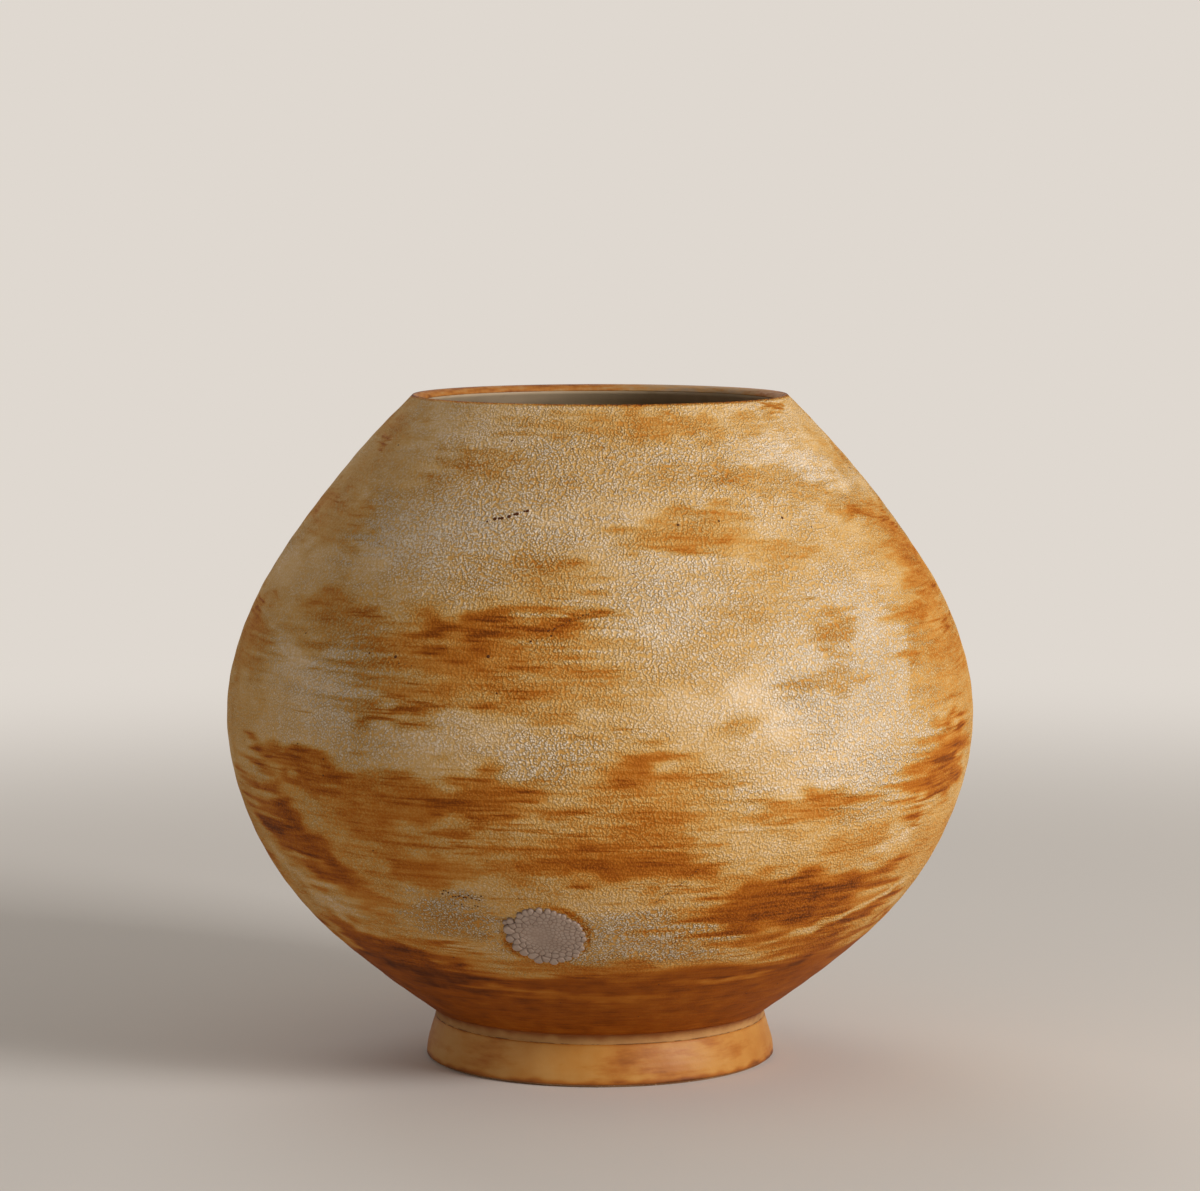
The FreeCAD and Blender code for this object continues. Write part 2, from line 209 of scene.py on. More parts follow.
def waves(field, bearing, climb):
    """A smooth random field of about -1 to 1 that closes round the jar: the sum over its waves of
    cos(m b + n s + phase), with whole m, and with wavelengths between the longest and the shortest in random
    directions. Stretch makes its features that many times longer round the jar than up the wall."""
    seed, count, longest, shortest, stretch = field
    draw = np.random.default_rng(seed)
    total = np.zeros(np.broadcast(bearing, climb).shape)
    for _ in range(count):
        length = longest * (shortest / longest) ** draw.random()
        way = draw.uniform(-math.pi, math.pi)
        around = round(2 * math.pi * BELLY_RADIUS / (length * stretch) * math.cos(way))
        upward = 2 * math.pi / length * math.sin(way)
        total += np.cos(around * bearing + upward * climb + draw.uniform(*WAVE_PHASES))
    return total / math.sqrt(count)


def smooth(value, low, high):
    """0 below low, 1 above high, and 3 t t - 2 t t t between, with t going from 0 to 1."""
    t = np.clip((value - low) / (high - low), 0, 1)
    return t * t * (3 - 2 * t)


def revolve(name, rings, ends=None, **fields):
    """A closed mesh from rings of points in mm that run round the jar, each joined to the next.

    The last ring joins the first again, or the two ends close on a point each. Rings that climb outside and
    come back down inside face outwards. Fields are values at the points, kept as attributes.
    """
    rows, columns = rings.shape[:2]
    index = np.arange(rows * columns).reshape(rows, columns)
    lower = index if ends is None else index[:-1]
    upper = np.roll(index, -1, axis=0) if ends is None else index[1:]
    quads = np.stack([lower, np.roll(lower, -1, axis=1), np.roll(upper, -1, axis=1), upper], axis=-1)
    faces = quads.reshape(-1, 4).tolist()
    points = rings.reshape(-1, 3)
    if ends is not None:
        points = np.concatenate([points, ends])
        first, last = index[0], index[-1]
        faces += [[index.size, b, a] for a, b in zip(first.tolist(), np.roll(first, -1).tolist())]
        faces += [[a, b, index.size + 1] for a, b in zip(last.tolist(), np.roll(last, -1).tolist())]
    mesh = bpy.data.meshes.new(name)
    mesh.from_pydata((points * MM).tolist(), [], faces)
    mesh.shade_smooth()
    for field, values in fields.items():
        vector = values.ndim == 3
        flat = np.zeros((len(points), 3) if vector else len(points))
        flat[:index.size] = values.reshape(-1, 3) if vector else values.ravel()
        attribute = mesh.attributes.new(field, "FLOAT_VECTOR" if vector else "FLOAT", "POINT")
        attribute.data.foreach_set("vector" if vector else "value", flat.ravel())
    piece = bpy.data.objects.new(name, mesh)
    bpy.context.scene.collection.objects.link(piece)
    return piece


def cove_rings():
    """The cove's face, with the finger's low waves sunk into it, then back round the bed between foot and
    bowl. Also the hairline along its foot, and how much of the coat's wash ran on to it from above."""
    climb = np.linspace(0, COVE_LENGTH, COVE_ROWS)[:, None]
    radius, height, heading = follow(COVE_FOOT, COVE_HEADING, UP, [(COVE_LENGTH, COVE_TURN)], climb)
    bearing = bearings(COVE_COLUMNS)
    sunk = FINGER_DEPTH * np.clip(1 + waves(FINGER_WAVES, bearing, climb), *DIP_RANGE)
    sunk = sunk * smooth(climb, 0, FINGER_FADE) * smooth(COVE_LENGTH - climb, 0, FINGER_FADE)
    face = round_jar(bearing, radius - sunk * np.cos(heading), height - sunk * np.sin(heading))
    bed = np.array(COVE_BED)
    back = round_jar(bearing, bed[:, :1], bed[:, 1:])
    hairline = 1 - smooth(climb, 0, HAIRLINE_WIDTH) + 0 * bearing
    edge = climb + STAIN_WANDER * waves(STAIN_WAVES, bearing, climb)
    stain = smooth(edge, COVE_LENGTH - STAIN_END, COVE_LENGTH - STAIN_FULL)
    plain = np.zeros(back.shape[:2])
    return np.concatenate([face, back]), np.concatenate([hairline, plain]), np.concatenate([stain, plain])


def joining_slip():
    """Fired slip: the clay's own colour, a little lighter, smooth and matt."""
    slip = new_material("fired_slip")
    place = add(slip, "TexCoord").outputs["Object"]
    hairline = add(slip, "Attribute", attribute_name="hairline").outputs["Fac"]
    stain = add(slip, "Attribute", attribute_name="stain").outputs["Fac"]
    cloud = add(slip, "TexNoise", {"Vector": place, "Scale": per_metre(CLAY_TOAST_WIDTH), "Detail": 5.0})
    grain = add(slip, "TexNoise", {"Vector": place, "Scale": per_metre(SLIP_GRAIN), "Detail": 2.0})
    broken = add(slip, "TexNoise", {"Vector": place, "Scale": per_metre(HAIRLINE_BREAK), "Detail": 3.0})
    open_share = add(slip, "MapRange", {"Value": broken, "From Min": 0.42, "From Max": 0.52})
    crack = add(slip, "Math", (open_share, hairline), operation="MULTIPLY")
    body = add(slip, "ValToRGB", {"Fac": cloud}, [(0.3, SLIP_PALE), (0.7, SLIP_DARK)])
    stained = add(slip, "Mix", {
        MIX_SHARE: stain, MIX_UNDER: body, MIX_OVER: linear(SLIP_STAINED),
    }, data_type="RGBA").outputs[MIXED]
    colour = add(slip, "Mix", {
        MIX_SHARE: crack, MIX_UNDER: stained, MIX_OVER: linear(SLIP_CRACK),
    }, data_type="RGBA").outputs[MIXED]
    bump = add(slip, "Bump", {"Height": grain, "Strength": 0.7, "Distance": SLIP_GRAIN_HEIGHT * MM})
    shader = add(slip, "BsdfPrincipled", {"Base Color": colour, "Roughness": 0.8, "Normal": bump})
    add(slip, "OutputMaterial", {"Surface": shader})
    return slip


slip_finish = joining_slip()
for name in ("belly_slip", "lip_slip"):
    finish_node(name, slip_finish)

cove_face, cove_hairline, cove_stain = cove_rings()
cove = revolve("foot_cove", cove_face, hairline=cove_hairline, stain=cove_stain)
cove.data.materials.append(slip_finish)
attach(cove, "root")
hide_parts("foot_slip")


# Liner: a smooth grey-green glaze poured through the whole inside and out again.
# It follows the rings that the fingers left, and it is darker where it pooled between them.

# The clay's inner outline: its radius and height at the belly, and its bends from there up the shoulder, and
# down the hull and over the floor
INNER_BELLY = (153.2, 148.5)
INNER_SHOULDER = [(22.89, 14.79), (40.73, 17.52), (94.31, 11.29)]
INNER_HULL = [(20.84, 12.97), (77.89, 34.71), (57.92, 13.43), (30.48, 28.89), (35.93, 0.001)]
LINER_THICKNESS = 0.5
LINER_COLUMNS = 240
LINER_ROWS = 190
LINER_BACK_ROWS = 40
LINER_EYE = 0.6

# The throwing groove, in mm. It starts over these radii on the floor, and ends over this length under the
# lip.
THROWING_RING = 13.0
GROOVE_DEPTH = 0.34
GROOVE_START = (4, 30)
GROOVE_FADE = 9.0
GROOVE_WAVES = (51, 16, 200, 60, 1)

LINER_THIN = "#CBB292"
LINER_POOLED = "#A08A68"
LINER_IRON = "#9A7648"
LINER_CLOUD_WIDTH = 30.0
LINER_IRON_WIDTH = 14.0
GROOVE_POOLS = 0.35


def both_ways(belly, shoulder, hull, climb):
    """A wall's line at distances along it from the belly, positive up the shoulder and negative down the
    hull: its radius and height, and its outward normal's radial and upright parts, (cos h, way sin h)."""
    up = follow(belly, 0, UP, shoulder, np.maximum(climb, 0))
    down = follow(belly, 0, DOWN, hull, np.maximum(-climb, 0))
    above = climb >= 0
    radius, height, heading = (np.where(above, a, b) for a, b in zip(up, down))
    return radius, height, np.cos(heading), np.where(above, UP, DOWN) * np.sin(heading)


def reach(bends):
    """The whole length of a chain of bends."""
    return sum(bend[0] for bend in bends)


def liner_rings():
    """The liner's back on the clay, from a small eye in the floor's middle up to the lip, then its face back
    down, and the two points that close the eye. The face has one spiral throwing groove, deepest where
    cos(2 pi s / ring + bearing) is 1, and never as deep as the glaze is thick."""
    floor_end = -reach(INNER_HULL)
    lip_end = reach(INNER_SHOULDER)
    bearing = bearings(LINER_COLUMNS)
    back_climb = np.linspace(floor_end + LINER_EYE, lip_end, LINER_BACK_ROWS)[:, None]
    radius, height = both_ways(INNER_BELLY, INNER_SHOULDER, INNER_HULL, back_climb)[:2]
    back = round_jar(bearing, radius, height)
    climb = np.linspace(lip_end, floor_end + LINER_EYE, LINER_ROWS)[:, None]
    radius, height, out, upward = both_ways(INNER_BELLY, INNER_SHOULDER, INNER_HULL, climb)
    wander = waves(GROOVE_WAVES, bearing, climb)
    groove = 0.5 + 0.5 * np.cos(2 * math.pi * climb / THROWING_RING + bearing + wander)
    groove = groove * smooth(radius, *GROOVE_START) * smooth(lip_end - climb, 0, GROOVE_FADE)
    stand = GROOVE_DEPTH * groove - LINER_THICKNESS
    face = round_jar(bearing, radius + stand * out, height + stand * upward)
    floor = float(both_ways(INNER_BELLY, INNER_SHOULDER, INNER_HULL, floor_end)[1])
    eye = np.array([(0, 0, floor), (0, 0, floor + LINER_THICKNESS)])
    return np.concatenate([back, face]), eye, np.concatenate([np.zeros(back.shape[:2]), groove])


def celadon_liner():
    """Thin grey-green celadon: smooth and softly glossy, clouded, with a little iron from the clay."""
    glaze = new_material("grey_celadon_liner")
    place = add(glaze, "TexCoord").outputs["Object"]
    groove = add(glaze, "Attribute", attribute_name="groove").outputs["Fac"]
    cloud = add(glaze, "TexNoise", {"Vector": place, "Scale": per_metre(LINER_CLOUD_WIDTH), "Detail": 4.0})
    pooled = add(glaze, "Math", (groove, GROOVE_POOLS, cloud), operation="MULTIPLY_ADD")
    body = add(glaze, "ValToRGB", {"Fac": pooled}, [(0.4, LINER_THIN), (0.95, LINER_POOLED)])
    iron = add(glaze, "TexNoise", {"Vector": place, "Scale": per_metre(LINER_IRON_WIDTH), "Detail": 5.0})
    stain = add(glaze, "MapRange", {"Value": iron, "From Min": 0.6, "From Max": 0.78, "To Max": 0.5})
    colour = add(glaze, "Mix", {
        MIX_SHARE: stain, MIX_UNDER: body, MIX_OVER: linear(LINER_IRON),
    }, data_type="RGBA").outputs[MIXED]
    shader = add(glaze, "BsdfPrincipled", {"Base Color": colour, "Roughness": 0.38})
    add(glaze, "OutputMaterial", {"Surface": shader})
    return glaze


liner_points, liner_eye, liner_grooves = liner_rings()
liner = revolve("liner", liner_points, liner_eye, groove=liner_grooves)
liner.data.materials.append(celadon_liner())
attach(liner, "root")
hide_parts("inner_glaze")


# Crawled coat: off-white slip that drew up into fine beads over the clay, brushed with an ochre iron wash.
# The wash lies in level strokes: golden where it is thin, orange-brown where it is thick, with dark bristle
# marks. It is thickest in a band round the heel, and the beads stand out pale wherever it is thin.

BELLY = (BELLY_RADIUS, 148.5)
SHOULDER = [(24.65, 14.79), (42.81, 17.52), (94.70, 13.92)]
HULL = [(22.38, 12.97), (82.01, 34.71), (58.97, 8.48)]
COVE_LEG = 2.9
COAT_FOOT = COVE_LEG - reach(HULL)
COAT_LIP = reach(SHOULDER)
COAT_THICKNESS = 0.8
COAT_COLUMNS = 400
COAT_ROWS = 215
COAT_BACK_ROWS = 24
OUTLINE_PLACES = 600

# The coat's relief in mm: the rings left by throwing, its uneven thickness, and the length over which both
# run out at its edges
THROWN_RING = 11.0
THROWN_DEPTH = 0.05
THROWN_WANDER = 1.5
THROWN_WAVES = (31, 24, 140, 50, 2)
UNEVEN_DEPTH = 0.07
UNEVEN_MIDDLE = 1.4
UNEVEN_RANGE = (0, 3)
UNEVEN_WAVES = (32, 40, 60, 14, 2)
COAT_FADE = 4.0

# Each stroke: bearing from the front in degrees, height, length and width in mm, tilt in degrees, strength.
WASH_STROKES = [
    (15, 277, 141, 18, 0, 0.45), (-30, 262, 47, 18, 5, 0.40), (21, 257, 52, 14, 3, 0.25),
    (42, 254, 73, 22, -8, 0.36), (16, 237, 68, 27, 2, 0.52), (22, 230, 79, 13, -3, 0.36),
    (34, 223, 39, 20, 25, 0.30), (65, 242, 83, 22, -10, 0.34), (76, 230, 49, 12, -20, 0.50),
    (70, 263, 66, 26, -15, 0.35), (70, 190, 85, 50, 0, 0.36), (30, 205, 60, 14, 0, 0.20),
    (5, 145, 53, 21, -3, 0.62), (-20, 190, 122, 49, 4, 0.60), (6, 184, 56, 24, 0, 0.22),
    (-20, 133, 106, 25, 3, 0.55), (8, 123, 81, 22, 0, 0.34), (0, 109, 98, 22, -4, 0.72),
    (32, 85, 123, 38, 3, 0.86), (36, 125, 70, 16, 6, 0.42), (44, 109, 70, 13, 10, 0.32),
    (64, 136, 72, 44, 10, 0.84), (-29, 101, 89, 21, 2, 0.60), (-46, 57, 95, 48, -12, 0.92),
    (-54, 137, 94, 24, 0, 0.70), (-56, 107, 89, 41, -10, 0.85), (-50, 199, 54, 34, 5, 0.50),
    (-59, 236, 66, 31, 8, 0.45), (-7, 220, 39, 13, 5, 0.40), (-14, 226, 50, 9, 0, 0.25),
    (26, 195, 72, 12, 0, 0.12), (-6, 173, 72, 21, 2, 0.42), (62, 97, 74, 18, 12, 0.30),
    (-3, 59, 94, 15, 3, 0.55), (-48, 122, 110, 50, -10, 0.62), (-40, 84, 92, 34, -12, 0.66),
    (-17, 199, 84, 19, 5, 0.62), (-30, 168, 52, 20, 8, 0.52), (2, 103, 120, 18, -2, 0.45),
    (38, 92, 90, 20, 3, 0.40), (-22, 132, 100, 22, 2, 0.40), (74, 215, 60, 36, -8, 0.45),
    (36, 76, 116, 34, 4, 0.60), (52, 66, 96, 36, 13, 0.78), (9, 133, 60, 46, 0, 0.46),
]
BRISTLE_STROKES = [
    (-16, 199, 55, 12, 7, 0.62), (-25, 198, 30, 17, 8, 0.60), (-4, 203, 24, 5, 15, 0.70),
    (-4, 214, 29, 9, 5, 0.34), (-32, 165, 33, 11, 10, 0.72), (-31, 173, 28, 6, 6, 0.50),
    (-34, 177, 33, 5, 4, 0.50), (-13, 182, 37, 10, 4, 0.42), (-15, 170, 41, 6, 3, 0.30),
    (-18, 132, 66, 17, 3, 0.50), (-25, 140, 45, 8, 3, 0.45), (-12, 118, 64, 11, 4, 0.55),
    (2, 112, 72, 11, -4, 0.42), (17, 90, 78, 14, 0, 0.38), (38, 93, 38, 25, 0, 0.34),
    (37, 127, 47, 8, 4, 0.42), (26, 121, 24, 4, 3, 0.40), (49, 73, 62, 18, 14, 0.40),
    (66, 141, 42, 30, 15, 0.70), (62, 123, 49, 19, 20, 0.42), (56, 110, 25, 12, 10, 0.50),
    (54, 138, 31, 6, 0, 0.40), (58, 281, 37, 9, 3, 0.62), (71, 238, 52, 8, 5, 0.40),
    (44, 232, 14, 6, 10, 0.35), (79, 233, 39, 8, -15, 0.40), (72, 196, 76, 18, 3, 0.32),
    (-27, 66, 43, 10, 0, 0.55), (-21, 91, 26, 7, 5, 0.40), (0, 53, 95, 13, 3, 0.40),
    (-55, 138, 65, 14, 0, 0.45), (-56, 104, 67, 23, -10, 0.40), (6, 143, 32, 6, 0, 0.22),
    (17, 229, 34, 5, 0, 0.25), (19, 164, 17, 4, 0, 0.20), (-56, 241, 51, 13, 6, 0.30),
    (-48, 203, 49, 14, 4, 0.30),
]

# Pale places where the wash was wiped or scraped off again, in the same order.
WIPED_STROKES = [
    (-45, 110, 90, 26, -38, 0.50), (-56, 80, 80, 14, -30, 0.45), (-61, 96, 70, 12, -26, 0.40),
    (-34, 76, 39, 12, -12, 0.50), (50, 76, 77, 6, 16, 0.80), (56, 112, 48, 16, 25, 0.60),
    (31, 50, 48, 6, 2, 0.50), (-20, 46, 47, 6, -3, 0.45), (0, 43, 59, 6, 0, 0.30),
    (42, 170, 92, 100, 0, 0.80), (8, 211, 73, 52, 0, 0.50), (63, 73, 51, 11, 20, 0.50),
    (2, 73, 78, 34, 0, 0.65), (-25, 82, 50, 22, 0, 0.65), (-55, 186, 60, 33, 0, 0.30),
    (-33, 232, 89, 37, 0, 0.45), (-44, 168, 35, 48, 0, 0.30), (-9, 150, 48, 13, 0, 0.50),
    (60, 159, 57, 8, 5, 0.50), (41, 265, 102, 16, 0, 0.30),
]

# Thin dabs put on after the wiping, in the same order.
DAB_STROKES = [
    (39, 196, 30, 20, 0, 0.34), (36, 177, 42, 11, 3, 0.24), (20, 162, 26, 9, 8, 0.20),
    (31, 126, 60, 9, 2, 0.40), (62, 199, 40, 9, 0, 0.36), (56, 183, 16, 6, 0, 0.25),
    (64, 239, 30, 6, -8, 0.40),
]

# Places where the coat drew up into the boldest beads, in the same order.
CRAWLED_STROKES = [
    (2, 72, 78, 34, 0, 0.95), (-25, 81, 44, 22, 0, 0.85), (-28, 235, 110, 70, 0, 0.55),
    (-9, 150, 60, 22, 0, 0.40), (-40, 175, 60, 80, 0, 0.35), (10, 260, 120, 40, 0, 0.30),
    (12, 205, 100, 60, 0, 0.30), (44, 172, 100, 120, 0, 0.48), (-20, 265, 90, 40, 0, 0.25),
    (48, 250, 80, 50, 0, 0.25), (100, 235, 110, 60, 0, 0.40), (118, 150, 120, 50, 0, 0.30),
    (152, 205, 90, 70, 0, 0.45), (175, 95, 120, 40, 0, 0.50), (196, 250, 100, 50, 0, 0.40),
    (220, 160, 110, 60, 0, 0.35), (250, 225, 100, 70, 0, 0.40), (262, 105, 90, 40, 0, 0.45),
]

# How ragged a stroke is: how far the bristles pull its ends, as a share of its length, and how far its sides
# wander, as a share of its width and at most so many mm. It is whole out to the first share of its size, and
# ends at the second.
BRISTLE_PULL_SHARE = 0.17
SIDE_PULL_SHARE = 0.22
SIDE_PULL_MOST = 4.5
STROKE_SHARES = (0.5, 1.22)
BRISTLE_WAVES = (21, 40, 9, 3.5, 14)
SIDE_WAVES = (22, 60, 26, 5, 3)

# The far side's washes: their seed, how many, and the ranges that bearing, height, length, width, tilt and
# strength are drawn from. Those below the second of the low heights are heavier, fully so below the first.
FAR_SEED = 7
FAR_WASH_COUNT = 52
FAR_BEARINGS = (84, 292)
FAR_HEIGHTS = [(62, 120), (100, 200), (190, 280)]
FAR_HEIGHT_SHARES = [0.4, 0.3, 0.3]
FAR_LENGTHS = (45, 125)
FAR_WIDTHS = (12, 38)
FAR_TILTS = (-8, 9)
FAR_STRENGTHS = (0.3, 0.5)
FAR_LOW_HEIGHTS = (70, 150)
FAR_LOW_EXTRA = 0.45

# Bristle marks in those washes: the share that has them, and their place and size against the wash's own
MARKED_SHARE = 0.8
MARK_TURNS = (-10, 10)
MARK_RISE_SHARES = (-0.3, 0.3)
MARK_LENGTH_SHARES = (0.35, 0.7)
MARK_WIDTH_SHARES = (0.25, 0.5)
MARK_STRENGTHS = (0.3, 0.6)

# The far side's wiped places: how many, and the range of each value of a stroke
FAR_WIPED_COUNT = 22
FAR_WIPED_RANGES = [(88, 285), (70, 270), (40, 100), (10, 60), (-12, 12), (0.3, 0.7)]

# The wash's weight, from 0 to 1: the strokes, the ground under them, more of it low down and at the sides,
# and the line that it left along the rim. Heights are in mm and bearings in degrees.
WASH_STRENGTH = 0.84
WASH_HIDING = 1.4
GROUND_WASH = 0.21
GROUND_UNEVEN = 0.06
GROUND_LEAST = 0.02
GROUND_WAVES = (42, 40, 140, 30, 2.5)
LOW_WASH = 0.12
LOW_WASH_HEIGHTS = (90, 170)
SIDE_WASH = 0.1
SIDE_WASH_BEARINGS = (50, 78)
RIM_LINE = 0.5
RIM_LINE_WIDTH = 1.6
WIPED_SHARE = 0.8
WIPED_LESS_ON_BAND = 0.35

# The band round the heel
BAND_TOP = 56.0
BAND_WANDER = 4.0
BAND_BLUR = 5.0
BAND_WASH = 0.78
BAND_WAVES = (41, 30, 120, 14, 4)

# An upright panel of wash at the right. Its straight edge is so many mm to the right of the axis.
PANEL_WASH = 0.08
PANEL_EDGE = (124, 127.5)
PANEL_END_BEARINGS = (80, 100)
PANEL_FOOT_HEIGHTS = (150, 165)
PANEL_TOP_HEIGHTS = (218, 236)

# How bold the crawl is: it is filled where the wash is thick, and nearly hidden in the band.
CRAWL_PLAIN = 0.74
CRAWL_UNEVEN = 0.15
CRAWL_BOLD = 1.35
CRAWL_FILLED = 0.5
CRAWL_FILLING_WASH = (0.35, 0.75)
CRAWL_HIDDEN = 0.9
CRAWL_RANGE = (0.05, 2)
CRAWL_WAVES = (43, 30, 60, 15, 2)

# The halo of bare ochre round the roundel
ROUNDEL_BEARING = math.radians(-9.5)
ROUNDEL_CLIMB = -80.9
ROUNDEL_RADIUS = 16.2
HALO_GAP = 1.0
HALO_WIDTH = 2.4
HALO_WASH = 0.2
HALO_LEANING_WASH = 0.35

# The coat's colours, from where it holds no iron to where it holds the most
CREAM_TO_IRON = [
    (0.00, "#F3DFC6"), (0.12, "#EACEAA"), (0.25, "#DCB67F"), (0.42, "#D1A059"),
    (0.57, "#C68639"), (0.72, "#B4691C"), (0.85, "#994F0C"), (1.00, "#5A2A08"),
]

# The streaks of single bristles and of the whole brush: their widths across the stroke in mm, how many there
# are to a metre along it, and how far in mm the brush strays off the level
BRISTLE_WIDTH = 1.3
BRISTLE_RUNS = 52.0
BRUSH_BAND_WIDTH = 4.5
BRUSH_BAND_RUNS = 22.0
BRUSH_WANDER = 2.5
BRUSH_WAVES = (44, 16, 300, 90, 2)

# The mottle and the crawl, in mm. The beads are drawn about 1 mm wide, and the real ones are 1.3 to 1.7 mm.
MOTTLE_WIDTH = 9.0
CRAWL_BEAD = 1.0
CRAWL_BEND = 1.0
CRAWL_HEIGHT = 0.62
BRISTLE_RELIEF = 0.15

# The weight of iron: each pair is a factor and what is added to the product.
BRUSHY = (2.2, -0.3)
STREAK_GAIN = (0.6, 0.12)
STREAK_GAIN_MOST = 0.4
MOTTLE_IRON = (0.2, -0.1)
# The valleys of the crawl get more iron: partly wash drained off the beads, partly painted shade in the
# valleys.
VALLEY_WASH_AND_SHADE = (0.32, -0.145)
HAIR_STREAKS = 1.9
HAIR_IRON = 0.62


def wall(climb):
    """The coat's outline at distances from the belly along it, as both_ways gives it."""
    return both_ways(BELLY, SHOULDER, HULL, climb)


def climb_at(height):
    """The distance along the coat's outline at a height, read off between even places on it."""
    climbs = np.linspace(COAT_FOOT, COAT_LIP, OUTLINE_PLACES)
    return np.interp(height, wall(climbs)[1], climbs)


def brushed(strokes, bearing, climb, radius):
    """How much the strokes lay down at each place: 1 minus the product of (1 - each one's share).

    A stroke's share is its strength times a smooth fall with d = sqrt((u / a)^2 + (v / b)^2), where u and v
    run along and across it, and a and b are half its length and width. Its ends are pulled ragged by a field
    that changes quickly across the bristles and slowly along them, and its sides by a rounder one.
    """
    bristles = waves(BRISTLE_WAVES, bearing, climb)
    sides = waves(SIDE_WAVES, bearing, climb)
    bare = np.ones(bearing.shape)
    for stroke_bearing, height, length, width, tilt, strength in strokes:
        turn = (bearing - math.radians(stroke_bearing) + math.pi) % (2 * math.pi) - math.pi
        along = turn * radius
        across = climb - climb_at(height) - math.tan(math.radians(tilt)) * along
        along = along + BRISTLE_PULL_SHARE * length * bristles
        across = across + min(SIDE_PULL_SHARE * width, SIDE_PULL_MOST) * sides
        spread = np.hypot(along / (0.5 * length), across / (0.5 * width))
        bare *= 1 - strength * (1 - smooth(spread, *STROKE_SHARES))
    return 1 - bare


def far_side_strokes():
    """Strokes for the sides and back, in the manner of the front: washes, bristle marks in most of them, and
    wiped places. Four washes in ten lie low, and those are heavier."""
    draw = np.random.default_rng(FAR_SEED)
    washes = []
    bristles = []
    for _ in range(FAR_WASH_COUNT):
        bearing = draw.uniform(*FAR_BEARINGS)
        height = draw.uniform(*FAR_HEIGHTS[draw.choice(len(FAR_HEIGHTS), p=FAR_HEIGHT_SHARES)])
        length = draw.uniform(*FAR_LENGTHS)
        width = draw.uniform(*FAR_WIDTHS)
        tilt = draw.uniform(*FAR_TILTS)
        strength = draw.uniform(*FAR_STRENGTHS) + FAR_LOW_EXTRA * (1 - smooth(height, *FAR_LOW_HEIGHTS))
        washes.append((bearing, height, length, width, tilt, strength))
        if draw.random() < MARKED_SHARE:
            bristles.append((
                bearing + draw.uniform(*MARK_TURNS),
                height + width * draw.uniform(*MARK_RISE_SHARES),
                length * draw.uniform(*MARK_LENGTH_SHARES),
                width * draw.uniform(*MARK_WIDTH_SHARES),
                tilt,
                draw.uniform(*MARK_STRENGTHS),
            ))
    wiped = [
        tuple(draw.uniform(low, high) for low, high in FAR_WIPED_RANGES)
        for _ in range(FAR_WIPED_COUNT)
    ]
    return washes, bristles, wiped


def coat_relief(bearing, climb):
    """How far the coat's face lies under its outline, in mm: soft rings left by throwing, and the coat's own
    uneven thickness. It runs out to nothing at both edges."""
    slow = waves(THROWN_WAVES, bearing, climb)
    rings = np.cos(2 * math.pi * climb / THROWN_RING + THROWN_WANDER * slow)
    uneven = np.clip(UNEVEN_MIDDLE + waves(UNEVEN_WAVES, bearing, climb), *UNEVEN_RANGE)
    depth = THROWN_DEPTH * (1 + rings) + UNEVEN_DEPTH * uneven
    return depth * smooth(climb - COAT_FOOT, 0, COAT_FADE) * smooth(COAT_LIP - climb, 0, COAT_FADE)


def coat_face(bearing, climb, lift=0.0):
    """Points on the coat's face, or lifted off it by so many mm."""
    radius, height, out, upward = wall(climb)
    stand = lift - coat_relief(bearing, climb)
    return round_jar(bearing, radius + stand * out, height + stand * upward)


def coat_rings():
    """The coat's face from the cove up to the lip, then its back on the clay down again."""
    bearing = bearings(COAT_COLUMNS)
    face_climb = np.linspace(COAT_FOOT, COAT_LIP, COAT_ROWS)[:, None]
    back_climb = np.linspace(COAT_LIP, COAT_FOOT, COAT_BACK_ROWS)[:, None]
    radius, height, out, upward = wall(back_climb)
    back = round_jar(bearing, radius - COAT_THICKNESS * out, height - COAT_THICKNESS * upward)
    bearing, climb = np.broadcast_arrays(bearing, np.concatenate([face_climb, back_climb]))
    return np.concatenate([coat_face(bearing[:COAT_ROWS], face_climb), back]), bearing, climb


def iron_halo(bearing, climb, radius):
    """The ring of bare ochre round the roundel, where the coat drew back from the thick glaze: a bell over
    the distance from its edge, stronger to its upper right and lower left."""
    across = (bearing - ROUNDEL_BEARING) * radius
    up = climb - ROUNDEL_CLIMB
    away = np.hypot(across, up)
    lean = np.abs(across + up) / np.maximum(away, 1)
    bell = np.exp(-(((away - ROUNDEL_RADIUS - HALO_GAP) / HALO_WIDTH) ** 2))
    return bell * (HALO_WASH + HALO_LEANING_WASH * lean)


